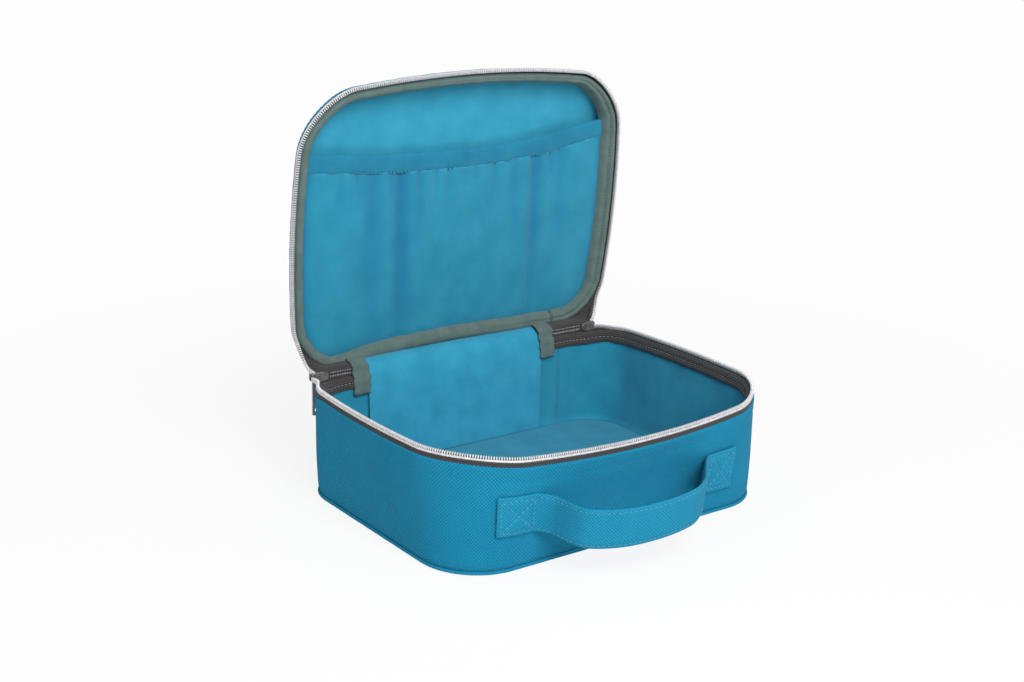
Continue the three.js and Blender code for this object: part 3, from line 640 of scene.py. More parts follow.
def satin_lining(name, lit="#2a8aa6", deep="#1f7e9a", shine=0.38, folded=False):
    """The lining. Where it is folded, painted shade makes the folds a little darker."""
    made, tree = new_material(name)
    place, across, up = cloth_map(tree)
    # threads of 0.15 mm are drawn 0.8 mm apart, just enough to break up the shine
    weave = node(tree, "Math", pulse(tree, across, 0.8), pulse(tree, up, 0.8), operation="MULTIPLY")
    soft = node(tree, "TexNoise", place, named=grains(0.05, 3))
    colour = node(tree, "MixRGB", node(tree, "MapRange", soft, 0.3, 0.7, 0, 1),
                  linear(deep), linear(lit))
    if folded:
        # painted shade: the folds and the border under the binding darken towards a deep blue, as
        # far as the pocket's point attribute says
        fold_painted_shade = node(tree, "Attribute", attribute_name="fold_painted_shade").outputs["Fac"]
        colour = node(tree, "MixRGB", fold_painted_shade, colour, linear("#0f5f8c"))
    patches = node(tree, "TexNoise", place, named=grains(0.4, 2))
    rough = node(tree, "MapRange", patches, 0.3, 0.7, shine, shine + 0.12)
    finish_cloth(tree, colour, rough, 0.1, [(soft, 0.3), (weave, 0.025)])
    return made


lining_cloth = satin_lining("satin_lining")
lining_inset = 4.5
lining_top = 67.5
floor_height = 4.3
lining_rows = []
for height in np.linspace(floor_height, lining_top, 26):
    rise = (height - floor_height) / (lining_top - floor_height)
    held = np.sin(math.pi * np.clip(rise, 0.02, 0.98))
    loose = 0.9 * held * (0.6 + waves(rim_length, height * 0.5, 48, 31))
    gathers = 0.35 * np.exp(-(lining_top - height) / 9) * waves(rim_length, height * 0.1, 13, 32)
    foot = 1.2 * np.exp(-(height - floor_height) / 1.5)
    lining_rows.append(body_points(whole_run, height, lining_inset + loose + gathers + foot))
lining_walls = cloth_piece("lining_walls", lining_rows, lining_cloth, wrap=True)
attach(lining_walls, "base")
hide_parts("lining_wall", "lining_rear")


def floor_shape(row, share):
    """The floor's lining lies loose on the board, so that it lifts a little in its middle."""
    lift = 0.5 * (1 + waves(row[:, 0], row[:, 1], 70, 33)) * (1 - share) ** 0.5
    return np.c_[np.zeros((len(row), 2)), lift]


floor_edge = body_points(whole_run, floor_height - 0.2, lining_inset + 0.6)
floor_rows = filled_rows(floor_edge, ring_shares, floor_shape)
lining_floor = panel_piece("lining_floor_cloth", floor_rows, lining_cloth)
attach(lining_floor, "base")
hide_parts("lining_floor")

# Zip on the bag: a charcoal polyester tape sewn inside the top edge, whose edge carries one row of
# moulded teeth on a thick bead. Behind the hinge it closes with the lid's row into a short chain.
zip_drop = 3.0  # the row runs this much lower where the zip is closed
chain_y = 93.45
chain_end = 77.5
slider_x = 115.5
mouth_x = 119.5
merge_station = 3 + 16  # where the row leaves the rim for the slider, on the rear corner
tape_inset = 1.6
tape_top = 74.8
bead_height = 75.7
tooth_height = 77.1  # of the middle of a tooth
tape_spread = 40  # points of the zip's line from its end to the rim


def zip_tape(name, code, rib):
    """Matt polyester tape with ribs along it, about 0.6 mm apart but drawn 1.8 mm apart."""
    made, tree = new_material(name)
    place, across, up = cloth_map(tree)
    fibre = node(tree, "TexNoise", place, named=grains(1.5, 3))
    knit = node(tree, "Math", pulse(tree, across, 0.6), 0.35, pulse(tree, up, rib),
                operation="MULTIPLY_ADD")
    dark = [c * 0.55 for c in linear(code)[:3]] + [1]
    colour = node(tree, "MixRGB", node(tree, "MapRange", knit, -1.2, 0.9, 0, 1), dark, linear(code))
    rough = node(tree, "MapRange", fibre, 0.3, 0.7, 0.72, 0.85)
    finish_cloth(tree, colour, rough, 0.1, [(knit, 0.12), (fibre, 0.08)])
    return made


charcoal_tape = zip_tape("charcoal_zip_tape", "#454242", 0.9)


def curve_between(start, first, second, end, count):
    """Points of a smooth curve with two handles."""
    share = np.linspace(0, 1, count)[:, None]
    rest = 1 - share
    return (rest ** 3 * start + 3 * rest ** 2 * share * first
            + 3 * rest * share ** 2 * second + share ** 3 * end)


def resampled(line, count):
    """So many points at even steps along a line."""
    long = lengths_along(line)
    return read_off(line, long, np.linspace(0, long[-1], count))


def bag_row(height, inset):
    """The line of the bag's zip at a height: closed chain, corner, round the rim and back."""
    rim = body_points(front_run, height, inset)
    closed = height - zip_drop
    chain = np.array([[chain_end, chain_y, closed], [mouth_x - 2, chain_y, closed]])
    chain = resampled(chain, 24)
    start, end = chain[-1], rim[merge_station]
    back = rim[merge_station] - rim[merge_station + 1]
    back *= 9 / np.linalg.norm(back)
    corner = curve_between(start, start + [7.0, 0, 0.6], end + back, end, 18)
    right = resampled(np.vstack([chain, corner[1:]]), tape_spread)
    left = right[::-1] * [-1, 1, 1]
    return np.vstack([right, rim[merge_station + 1:seam_end - merge_station], left])


def level_outward(line):
    """The outward direction in plan along a line that runs clockwise."""
    step = np.gradient(line, axis=0)
    out = np.c_[-step[:, 1], step[:, 0], np.zeros(len(line))]
    return out / np.linalg.norm(out, axis=1)[:, None]


def wall_edge(height, inset):
    """The line on the wall that the zip's tape is sewn to, point for point beside bag_row."""
    rim = body_points(front_run, height, inset)
    rear = np.array([[chain_end, half_depth - inset, height], [seam_x, half_depth - inset, height]])
    right = resampled(np.vstack([rear, rim[1:merge_station + 1]]), tape_spread)
    left = right[::-1] * [-1, 1, 1]
    return np.vstack([right, rim[merge_station + 1:seam_end - merge_station], left])


tape_foot = wall_edge(64.0, tape_inset)
tape_edge = wall_edge(70.5, tape_inset)
tape_head = bag_row(tape_top, tape_inset + 0.3)
tape_rows = [tape_foot, tape_edge]
tape_rows += [tape_edge * (1 - s) + tape_head * s for s in (0.25, 0.5, 0.75, 1)]
tape_rows.append(bag_row(tooth_height + 0.1, 2.1))
bag_tape = cloth_piece("bag_zip_tape", tape_rows, charcoal_tape, 0.7)
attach(bag_tape, "base")
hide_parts("base_zip_tape")


# Zip teeth: acetal, injection moulded round the tape's edge and given a bright silver finish, one
# every 1.55 mm with dark gaps between them. A bead of the same runs along their feet.
def silver_acetal(name, code="#b7b7ba"):
    made, tree = new_material(name)
    place = node(tree, "TexCoord").outputs["Object"]
    fleck = node(tree, "TexNoise", place, named=grains(500, 3))
    colour = node(tree, "MixRGB", node(tree, "MapRange", fleck, 0.3, 0.7, 0, 1),
                  linear(code), linear("#d6d6d9"))
    rough = node(tree, "MapRange", fleck, 0.3, 0.7, 0.28, 0.42)
    finish_metal(tree, colour, 0.25, rough, fleck, 0.02)
    return made


teeth_silver = silver_acetal("silver_acetal_teeth")
tooth_pitch = 1.55
tooth_shape = bead(2.5, 0.95, 2.3, 8, 6, 0.45)


def zip_row(name, bead_line, tooth_line, out, body, points_up):
    """One row of teeth with the bead at their feet. Each tooth stands up from the bead."""
    row_bead = tube_piece(name + "_bead", bead_line, 0.8, teeth_silver, 8, wrap=False)
    places, ahead, outward = spaced(tooth_line, out, tooth_pitch)
    up = np.cross(ahead, outward) * points_up
    teeth = repeated(name, tooth_shape, places, up, outward, teeth_silver)
    for made in (row_bead, teeth):
        if body:
            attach(made, body)
    return row_bead, teeth


bag_bead = bag_row(bead_height, 1.4)
bag_teeth_line = bag_row(tooth_height, 1.9)
bag_teeth = zip_row("bag_zip_teeth", bag_bead, bag_teeth_line, level_outward(bag_teeth_line),
                    "base", 1)[1]
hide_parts("base_zip_teeth")

# Binding inside the rim: a strip of charcoal tape folded twice over the raw edges of wall, foam and
# lining, and held by one row of paler stitches in the crease between its two folds.
binding_section = [  # height below the tape's top, and inset, along the strip
    (-0.2, 2.5), (0.4, 3.6), (1.6, 4.9), (2.8, 5.5), (3.7, 5.4), (4.2, 5.0),
    (4.7, 5.5), (5.8, 6.2), (7.2, 6.3), (8.2, 5.9), (8.6, 4.6),
]
binding_rows = []
for drop, inset in binding_section:
    line = wall_edge(tape_top - drop, inset)
    line[:, 2] += bag_row(tape_top, inset)[:, 2] - wall_edge(tape_top, inset)[:, 2]
    along = lengths_along(line)
    swell = 0.3 * waves(along, drop * 2, 11, 41) + 0.3 * waves(along, drop, 40, 42)
    binding_rows.append(line - level_outward(line) * swell[:, None])
rim_binding = cloth_piece("rim_binding", binding_rows, charcoal_tape)
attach(rim_binding, "base")
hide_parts("base_rim_binding")
pale_thread = sewing_thread("grey_polyester_thread", "#8d8d8f")
crease_line = binding_rows[5]
stitch_row("binding_stitches", crease_line - level_outward(crease_line) * 0.15,
           -level_outward(crease_line), "base", "zip_tape", pale_thread, 3.0, bead(2.0, 0.5, 0.5))

# Closed ends of the zip: behind the hinge both rows lie locked together, the upper one carried by
# the tape that goes on to the lid. Each end is hidden under a folded tab of grey-green binding.
upper_feet = bead_height - zip_drop + 5.2  # heights of the upper row's bead and of its teeth
upper_teeth = tooth_height - zip_drop + 2.6
for word, side in (("left", -1), ("right", 1)):
    ends = sorted((side * chain_end, side * mouth_x))
    chain_line = resampled(np.array([[x, chain_y, 0.0] for x in ends]), 20)
    out = np.tile([0.0, 1.0, 0.0], (len(chain_line), 1))
    teeth = zip_row("chain_" + word + "_upper", chain_line + [0, 0, upper_feet],
                    chain_line + [0, 0, upper_teeth], out, "base", -1)[1]
    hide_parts("chain_" + word)


def ribbed_binding(name):
    """Soft grey-green polyester binding, woven with slanting ribs, drawn 0.8 mm apart."""
    made, tree = new_material(name)
    place, across, up = cloth_map(tree)
    ribs = pulse(tree, node(tree, "Math", across, up, operation="ADD"), 0.55)
    fibre = node(tree, "TexNoise", place, named=grains(1.2, 3))
    blotch = node(tree, "TexNoise", place, named=grains(0.12, 3))
    knit = node(tree, "Math", fibre, 0.8, ribs, operation="MULTIPLY_ADD")
    colour = node(tree, "MixRGB", node(tree, "MapRange", knit, -0.8, 1.4, 0, 1),
                  linear("#3f5351"), linear("#647a75"))
    worn = node(tree, "MixRGB", node(tree, "MapRange", blotch, 0.35, 0.65, 0, 0.35),
                colour, linear("#6f8480"))
    finish_cloth(tree, worn, 0.85, 0.1, [(ribs, 0.1), (fibre, 0.12)])
    return made


green_binding = ribbed_binding("grey_green_binding")
tab_places = (("left", -1, 78.0, 90.5), ("right", 1, 68.5, 81.0))
tab_path = [  # y and height, from behind the lid's binding over the chain and down the lining
    (103.6, 82.2), (100.8, 81.5), (98.0, 81.1), (95.2, 80.8), (92.9, 80.1), (91.3, 78.6),
    (90.8, 76.2), (90.4, 74.0), (89.4, 72.0), (88.7, 69.5), (88.2, 66.0), (87.8, 62.0),
    (87.8, 60.0), (88.2, 59.0),
]
tab_columns = 12
for word, side, tab_inner, tab_outer in tab_places:
    x_line = np.linspace(side * tab_inner, side * tab_outer, tab_columns)
    edge = np.abs(np.linspace(-1, 1, tab_columns)) ** 6
    rows = []
    for y, z in resampled(np.array(tab_path), 44):
        bump = 0.35 * waves(x_line, z, 9, 50 + side)
        rows.append(np.c_[x_line + 0.4 * np.sin(z), y + 0.8 * edge + bump, z - 0.3 * edge])
    tab = cloth_piece("end_tab_" + word + "_cloth", rows, green_binding, 0.9 * side)
    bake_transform(tab)
    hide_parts("end_tab_" + word)

# Lid: a shallow tray of the same cloth, made as it lies when shut and then turned open on the
# hinge. Its side rolls in towards a piped edge, and its rear is a strip between the rear seams.
lid_angle = math.radians(85.3)
lid_split = 78.4
lid_top = 100.4
lid_wall_low = 85.3
lid_radius = 38.0
lid_bow = 12.0
lid_shoulder = 8.0
lid_line = plan_line(lid_radius, side_bow, lid_bow, rim_dip)
lid_length = np.r_[0, np.cumsum(np.hypot(np.diff(lid_line[:, 0]), np.diff(lid_line[:, 1])))]


def lid_points(run, height, inset):
    """Points of the shut lid at a height and a distance in from its outer face."""
    height = np.asarray(height, float) * np.ones(len(run))
    roll = np.clip((height - lid_wall_low) / (lid_top - lid_wall_low), 0, 1)
    rise = np.clip((height - lid_split) / (lid_top - lid_split), 0, 1)
    line = lid_line[run]
    inward = line[:, 3:5] * (inset + lid_shoulder * roll ** 2)[:, None]
    return np.c_[line[:, 0:2] - inward, height - line[:, 2] * (1 - rise)]


lean_low = 79.8
side_lean = 15.0  # how far the soft sides and front of the lid sink in towards its panel
front_lean = 10.0


def lid_wall_points(run, height, inset):
    """The same for the lid's outer wall, which sinks in more than the stiff hinge side does."""
    height = np.asarray(height, float) * np.ones(len(run))
    out = lid_line[run, 3:5]
    reach = side_lean * out[:, 0] ** 2 + front_lean * np.minimum(0, out[:, 1]) ** 2
    share = np.clip((height - lean_low) / (lid_top - lean_low), 0, 1) ** 1.3
    roll = np.clip((height - lid_wall_low) / (lid_top - lid_wall_low), 0, 1) ** 2
    stiff = np.maximum(0, out[:, 1]) ** 2
    return lid_points(run, height, inset + reach * share - lid_shoulder * roll * (1 - stiff))


def opened(points):
    """Turns points of the shut lid to where it stands open."""
    points = np.asarray(points, float)
    y = points[..., 1] - hinge_y
    z = points[..., 2] - hinge_z
    return np.stack([points[..., 0], hinge_y + y * math.cos(lid_angle) + z * math.sin(lid_angle),
                     hinge_z - y * math.sin(lid_angle) + z * math.cos(lid_angle)], axis=-1)


def opened_way(ways):
    """Turns directions on the shut lid to where they point when it stands open."""
    hinge = np.array([0, hinge_y, hinge_z])
    return opened(np.asarray(ways, float) + hinge) - hinge


def lid_side_rows(run, low, levels):
    """The outer face of the lid's side, row by row down from the piping."""
    along = lid_length[run]
    high = lid_top - 2.6
    rows = []
    for height in np.linspace(high, low, levels):
        rise = (height - low) / (high - low)
        uneven = 0.3 * math.sin(math.pi * rise) * waves(along, height, 52, 61)
        pucker = 0.14 * np.exp(-(height - low) / 5) * waves(along, height * 0.15, 8, 62)
        pinch = 0.8 * np.exp(-(high - height) / 1.3)
        rows.append(lid_wall_points(run, height, uneven + pucker + pinch))
    return rows


lid_rows = lid_side_rows(front_run, lid_wall_low, 12)
lid_rows += [lid_wall_points(front_run, lid_wall_low - past, inset) for past, inset in turned_lip]
lid_side = cloth_piece("lid_side_cloth", opened(lid_rows), bag_cloth)
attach(lid_side, "lid")
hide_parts("lid_gusset")

lid_rear_low = hinge_z + 5.4
lid_rear = cloth_piece("lid_rear_cloth", opened(lid_side_rows(rear_run, lid_rear_low, 14)),
                       bag_cloth, cloth_thickness)
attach(lid_rear, "lid")
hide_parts("lid_rear_panel")
lid_out = opened_way(np.c_[lid_line[:, 3:5], np.zeros(station_count)])[front_run]
stitch_row("lid_rim_stitches", opened(lid_wall_points(front_run, lid_wall_low + 4.5, -0.1)),
           lid_out, "lid", "woven_cloth")
lid_piping_line = lid_wall_points(whole_run, lid_top - piping_radius, piping_radius)
lid_piping = tube_piece("lid_piping_cord", lid_piping_line, piping_radius, bag_cloth, uneven=0.05)
for vertex in lid_piping.data.vertices:
    vertex.co = Vector(opened(np.array(vertex.co) / MM)) * MM
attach(lid_piping, "lid")
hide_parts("lid_piping")

# Outer panel of the lid: woven cloth over thin foam, pulled tight into the piping all round, so
# that it is crowned in the middle. Its crown is made by inflating the sewn pad as cloth.
pad_edge = 3.2
pad_low = lid_top - 4.6
pad_rings = [1.0, 0.985, 0.965, 0.94, 0.9, 0.85, 0.79, 0.72, 0.64, 0.55, 0.45, 0.35, 0.25, 0.15,
             0.07]
pad_line = lid_wall_points(whole_run[::2], lid_top - 1.6, pad_edge - 0.6)


def pad_rows(height, sink):
    """One face of the pad, from its edge to its middle, with the edge moved up by sink."""
    rows = []
    for share in pad_rings:
        row = pad_line * [share, share, 1]
        row[:, 2] = height + sink * share ** 14
        rows.append(row)
    return np.array(rows)


def closed_pad(name, outer, inner, material):
    """A sewn pad from the rows of its two faces, which share their outermost row."""
    count = outer.shape[1]
    points = np.vstack([with_middle(outer), with_middle(inner[1:])])
    faces = grid_faces(len(outer), count, wrap=True)
    outer_middle = outer.shape[0] * count
    last = outer_middle - count
    faces += [(last + c, last + (c + 1) % count, outer_middle) for c in range(count)]
    first = outer_middle + 1
    faces += [(c, first + c, first + (c + 1) % count, (c + 1) % count) for c in range(count)]
    for r in range(len(inner) - 2):
        row = first + r * count
        faces += [(row + c, row + count + c, row + count + (c + 1) % count, row + (c + 1) % count)
                  for c in range(count)]
    last = first + (len(inner) - 2) * count
    faces += [(last + c, len(points) - 1, last + (c + 1) % count) for c in range(count)]
    return add_piece(name, points, faces, material, points[:, :2])


def inflate(piece, held, pressure, most, frames=16):
    """Blows a sewn piece up as cloth. held are the sewn points, most is how far others move."""
    rest = np.array([v.co for v in piece.data.vertices])
    pins = piece.vertex_groups.new(name="sewn")
    pins.add([int(i) for i in held], 1.0, "REPLACE")
    cloth = piece.modifiers.new("cloth", "CLOTH")
    cloth.settings.vertex_group_mass = "sewn"
    cloth.settings.use_pressure = True
    cloth.settings.uniform_pressure_force = pressure
    cloth.settings.effector_weights.gravity = 0
    cloth.settings.quality = 6
    for step in range(1, frames + 1):
        bpy.context.scene.frame_set(step)
    shaped = piece.evaluated_get(bpy.context.evaluated_depsgraph_get())
    moved = np.array([v.co for v in shaped.data.vertices]) - rest
    piece.modifiers.remove(cloth)
    bpy.context.scene.frame_set(1)
    reach = np.linalg.norm(moved, axis=1)
    limit = most * MM
    scale = np.where(reach > 1e-9, limit * np.tanh(reach / limit) / np.maximum(reach, 1e-9), 0)
    blown = rest + moved * scale[:, None]
    piece.data.vertices.foreach_set("co", blown.astype(np.float32).ravel())
    piece.data.update()


lid_pad = closed_pad("lid_padded_panel", pad_rows(lid_top - 0.6, -0.9), pad_rows(pad_low, 3.0),
                     bag_cloth)
inflate(lid_pad, range(pad_line.shape[0] * 2), 1.6, 2.5)
pad_points = np.array([v.co for v in lid_pad.data.vertices]) / MM
uneven = 0.5 * waves(pad_points[:, 0], pad_points[:, 1], 90, 63)
pad_points[:, 2] += uneven * (pad_points[:, 2] > pad_low + 2)
lid_pad.data.vertices.foreach_set("co", (opened(pad_points) * MM).astype(np.float32).ravel())
smooth = lid_pad.modifiers.new("smooth", "SUBSURF")
smooth.levels = smooth.render_levels = 1
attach(lid_pad, "lid")
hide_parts("lid_panel", "lid_foam")

# Lining of the lid: the same thin lining, sewn under the binding and lying loose over the foam, so
# that it drops back about 8 mm from the binding before it spreads over the panel.
lid_lining_section = [  # height when shut, and inset
    (86.6, 7.4), (87.6, 8.4), (89.6, 9.0), (91.8, 9.8), (93.6, 11.4), (94.5, 14.0), (94.9, 18.0),
]
lid_lining_rows = []
for height, inset in lid_lining_section:
    loose = 0.5 * waves(lid_length, height * 2, 26, 71) * min(1, (height - 86) / 4)
    shoulder = lid_shoulder * ((height - lid_wall_low) / (lid_top - lid_wall_low)) ** 2
    lid_lining_rows.append(lid_points(whole_run, height, inset + loose - shoulder))
inner_edge = lid_lining_rows[-1]
lining_middle = 94.4
for share in (0.93, 0.85, 0.75, 0.64, 0.52, 0.4, 0.28, 0.16, 0.06):
    row = inner_edge * [share, share, 1]
    row[:, 2] = inner_edge[:, 2] * share + (1 - share) * lining_middle
    row[:, 2] += 0.7 * waves(row[:, 0], row[:, 1], 70, 72) * (1 - share) ** 0.4
    row[:, 2] -= 1.2 * (1 - share) ** 0.5
    lid_lining_rows.append(row)
# the lid's lining is the bag's lining in lighter colours: painted light where light falls on the
# lid's inside
lid_lining = panel_piece("lid_lining", opened(lid_lining_rows),
                         satin_lining("lid_satin_painted_light", "#3397b5", "#298ba9"), lid_lining_rows)
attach(lid_lining, "lid")
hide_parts("lid_lining_panel", "lid_lining_band")

# Zip on the lid: the other half of the tape and its row of teeth. The part beside the slider is a
# piece of its own.
lid_tape_low = 82.0
lid_bead = 81.2
lid_tooth = 79.9


def lid_row(height, inset):
    """A line round the open lid, at a height when shut."""
    return opened(lid_wall_points(front_run, height, inset))


turn_steps = 18
lid_merge = 3 + 19  # where the lid's row leaves its rim for the slider
turn_sides = ((0, "right"), (2, "left"))  # which part of a line lies on which side


def lid_zip_line(height, inset, lift):
    """The lid's zip at a height when shut: bend on the right, run round the rim, left bend."""
    rim = lid_row(height, inset)
    start = np.array([mouth_x - 2, chain_y, hinge_z + lift])
    end = rim[lid_merge]
    back = rim[lid_merge] - rim[lid_merge + 2]
    back *= 9 / np.linalg.norm(back)
    right = curve_between(start, start + [6.5, 0.3, 0.8], end + back, end, turn_steps)
    return right, rim[lid_merge:seam_end - lid_merge + 1], right[::-1] * [-1, 1, 1]


bead_lines = lid_zip_line(lid_bead, 1.2, 3.1)
tooth_lines = lid_zip_line(lid_tooth, 1.9, 1.8)
for k, word in turn_sides:
    side = 1 if word == "right" else -1
    out = np.c_[np.full(turn_steps, side), np.linspace(0.8, 0.1, turn_steps)[::side],
                np.zeros(turn_steps)]
    for made in zip_row("lid_zip_turn_" + word, bead_lines[k], tooth_lines[k], out, None, -1):
        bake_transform(made)
lid_teeth = zip_row("lid_zip_teeth_row", bead_lines[1], tooth_lines[1],
                    lid_out[lid_merge:seam_end - lid_merge + 1], "lid", -1)[1]
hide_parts("lid_zip_teeth")

tape_levels = [  # height when shut, inset, and height over the hinge at the slider
    (lid_bead - 1.6, 1.9, 2.4), (lid_tape_low, 1.8, 3.9), (83.6, 1.6, 5.2), (86.0, 1.5, 6.6),
    (90.0, 1.6, 9.0),
]
tape_lines = [lid_zip_line(*level) for level in tape_levels]
lid_tape = cloth_piece("lid_zip_tape_cloth", [line[1] for line in tape_lines], charcoal_tape, 0.7)
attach(lid_tape, "lid")
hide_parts("lid_zip_tape")
for k, word in turn_sides:
    turned_tape = cloth_piece("lid_tape_turn_" + word, [line[k] for line in tape_lines],
                              charcoal_tape, 0.6)
    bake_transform(turned_tape)

# Inner side of the closed zip: charcoal tape over the locked rows, from the rim up to the lid's
# binding, through which the feet of the teeth show as two rows of pale ticks.
chain_tape_path = [  # y and height; the slider's plates run on both sides of it
    (92.3, 70.9), (92.5, 71.8), (92.45, 73.0), (92.2, 73.6), (92.15, 75.2), (92.15, 77.4),
    (92.35, 78.8), (93.2, 79.7), (95.6, 80.2), (98.4, 80.4), (101.4, 80.7), (104.2, 81.3),
]
tick_y = 92.05
tick_pitch = 1.3
tick_rows = [(74.3, 1.5), (76.9, 0.9)]  # height, and length of the ticks
for word, side, tab_inner, tab_outer in tab_places:
    x_line = np.linspace(side * (tab_inner + 1.5), side * (slider_x + 3), 40)
    rows = [np.c_[x_line, y + 0.06 * waves(x_line, z, 12, 111), np.full(40, z)]
            for y, z in resampled(np.array(chain_tape_path), 26)]
    chain_tape = cloth_piece("chain_tape_" + word, rows, charcoal_tape)
    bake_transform(chain_tape)
    for k, (height, long) in enumerate(tick_rows):
        tick_line = np.array([[side * (tab_outer - 1), tick_y, height],
                              [side * (slider_x - 7.5), tick_y, height]])
        places, ahead, outward = spaced(tick_line, np.array([[0.0, -1.0, 0.0]] * 2), tick_pitch)
        ticks = repeated("chain_ticks_%s_%d" % (word, k + 1), bead(long, 0.5, 0.4), places,
                         np.cross(ahead, outward), outward, teeth_silver)
        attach(ticks, "base")
for k, word in turn_sides:
    near = tape_lines[2][k]
    far = resampled(lid_row(81.0, 2.5)[:lid_merge + 1], turn_steps)
    if word == "left":
        far = far[::-1] * [-1, 1, 1]
    web = cloth_piece("lid_tape_web_" + word,
                      [near * (1 - s) + far * s for s in np.linspace(0, 1, 9)], charcoal_tape)
    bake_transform(web)
corner_levels = [(80.4, 2.8), (82.4, 2.0), (84.5, 1.6), (88.0, 1.5)]  # height when shut, and inset
for word, stations in (("right", slice(0, 26)), ("left", slice(seam_end - 25, seam_end + 1))):
    corner_tape = cloth_piece("lid_tape_corner_" + word,
                              [lid_row(*level)[stations] for level in corner_levels],
                              charcoal_tape, 0.5)
    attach(corner_tape, "lid")

# Binding of the lid: a wide strip of grey-green binding folded over the raw edges of tape and
# lining and sewn loosely, so that it puckers. It is broadest beside the hinge and doubles up on
# the right.
side_start = 3 + corner_steps
side_finish = side_start + side_steps
front_start = side_finish + corner_steps
front_finish = front_start + front_steps
left_start = front_finish + corner_steps
binding_places = np.array([  # station, start, width, how folded and how puckered the strip is
    (0, 2.5, 10.0, 0.2, 0.7), (side_start - 8, 2.5, 11.6, 0.7, 1.2),
    (side_start + 4, 2.5, 13.2, 1.0, 0.7), (side_finish - 6, 2.5, 12.8, 1.0, 0.9),
    (side_finish + 8, 3.2, 9.4, 0.8, 1.4), (front_start, 4.4, 7.0, 0.2, 0.6),
    (front_finish, 4.4, 6.6, 0.0, 0.35), (left_start, 4.8, 7.0, 0.0, 0.4),
    (left_start + side_steps, 4.8, 7.2, 0.0, 0.5), (seam_end - 10, 3.4, 8.4, 0.1, 0.9),
    (seam_end, 2.5, 9.2, 0.0, 0.4), (seam_end + rear_steps // 2, 2.5, 10.0, 0.0, 0.35),
    (station_count, 2.5, 10.0, 0.2, 0.7),
])
binding_start, binding_width, binding_fold, binding_pucker = [
    np.interp(whole_run, binding_places[:, 0], column) for column in binding_places[:, 1:].T]
binding_top = 82.6
binding_swell = 2.4
binding_shares = np.linspace(0, 1, 15)


def hinge_bow(x, y):
    """How far the lid's hinge side sags towards the hinge, or is drawn up, at a place on it."""
    near = np.clip((y - 62) / 16, 0, 1)
    return near * (4.6 * np.exp(-((x + 98) / 22) ** 2) - 1.8 * np.exp(-((x + 5) / 45) ** 2))


lid_binding_rows = []
for share in binding_shares:
    inset = binding_start + binding_width * (share ** 0.9)
    swell = binding_swell * math.sin(math.pi * min(1, share * 1.08) ** 0.8) ** 0.7
    groove = 4.0 * binding_fold * math.exp(-((share - 0.45) / 0.08) ** 2)
    short_waves = waves(lid_length, share * 5, 7.5, 81)
    long_waves = waves(lid_length + 2.5 * share, share * 3, 15, 82)
    pucker = 0.42 * binding_pucker * (short_waves + 0.8 * long_waves)
    pucker *= math.sin(math.pi * min(1, share + 0.06)) ** 0.5
    height = binding_top - swell + groove + pucker
    height += 2.0 * max(0.0, (share - 0.8) / 0.2) ** 1.5
    inset = inset + 0.5 * binding_pucker * waves(lid_length, share, 12, 83) * share
    lid_binding_rows.append(lid_points(whole_run, height, inset))
lid_binding_rows.append(lid_points(whole_run, 88.2, binding_start + 0.3 + binding_width))
for row in lid_binding_rows:
    row[:, 1] += hinge_bow(row[:, 0], row[:, 1])
lid_binding = cloth_piece("lid_binding_cloth", opened(lid_binding_rows), green_binding, wrap=True)
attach(lid_binding, "lid")
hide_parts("lid_binding")

# Pocket across the lid: one piece of lining, cut wider than the lid and gathered into an elastic
# hem. The elastic draws it up, which leaves soft folds that run down from the hem.
pocket_height = 86.2
pocket_foot = 84.5
hem_back = -45.0
hem_width = 12.5
hem_sag = 6.0
lid_side_y = lid_line[3:seam_end // 2, 1]
lid_side_x = lid_line[3:seam_end // 2, 0]


def pocket_half(y):
    """Half width of the lid's inside at a place along its depth."""
    return np.interp(-y, -lid_side_y, lid_side_x)


def folds_of(x, down):
    """How far the pocket stands out, or below 0 dips in, at a place across and down."""
    total = 0.5 * np.exp(-down / 26) * waves(x, down * 0.12, 12, 91)
    total = total + 0.35 * waves(x, down * 0.25, 38, 92)
    for at, width, depth, reach, step in pocket_folds:
        lean = at + 0.03 * down
        fade = np.exp(-(down / reach) ** 2)
        away = (x - lean) / width
        stand = step * np.tanh(away) * np.exp(-(away / 3) ** 2)
        total = total - fade * (depth * np.exp(-away ** 2) - stand)
    return total


pocket_folds = [  # place across, width, depth, reach down, and how far one side stands out
    (-98.0, 3.0, 1.2, 22, 0.3),
    (-85.0, 2.2, 1.2, 15, 0.3),
    (-73.0, 6.5, 1.9, 110, 0.3),
    (-59.0, 2.2, 1.5, 18, 0.4),
    (-50.0, 5.2, 2.8, 150, 0.8),
    (-36.0, 2.6, 1.8, 38, 0.5),
    (-23.0, 2.0, 1.1, 14, 0.2),
    (-12.0, 3.0, 1.1, 20, 0.2),
    (10.0, 2.6, 0.9, 18, -0.2),
    (27.0, 2.4, 1.3, 18, 0.3),
    (43.0, 5.0, 1.4, 60, 0.3),
    (62.0, 5.0, 2.6, 120, -0.7),
    (75.0, 2.4, 1.3, 22, -0.3),
    (84.0, 6.0, 1.0, 70, 0.3),
]


def hem_line(x):
    """How far towards the hinge the hem sags at a place across. Its right end is sewn in higher."""
    sag = hem_sag * (1 - np.clip(x / 116, -1, 1) ** 2)
    return sag + 1.8 - 5.4 * np.clip((x - 20) / 93, 0, 1) ** 1.5


def fold_shade(x, down):
    """How deep in a fold a place lies, from 0 to 1, for the painted shade in the pocket's folds."""
    total = 0
    for at, width, depth, reach, step in pocket_folds:
        away = (x - at - 0.03 * down) / (width * 1.3)
        total = total + depth / 2.6 * np.exp(-away ** 2 - (down / reach) ** 2)
    return total


def across_pocket(base, left, right):
    """Places across the lid's inside between two insets under the binding."""
    full = pocket_half(base)
    return -(full - left) + (across_shares + 1) / 2 * (2 * full - left - right)


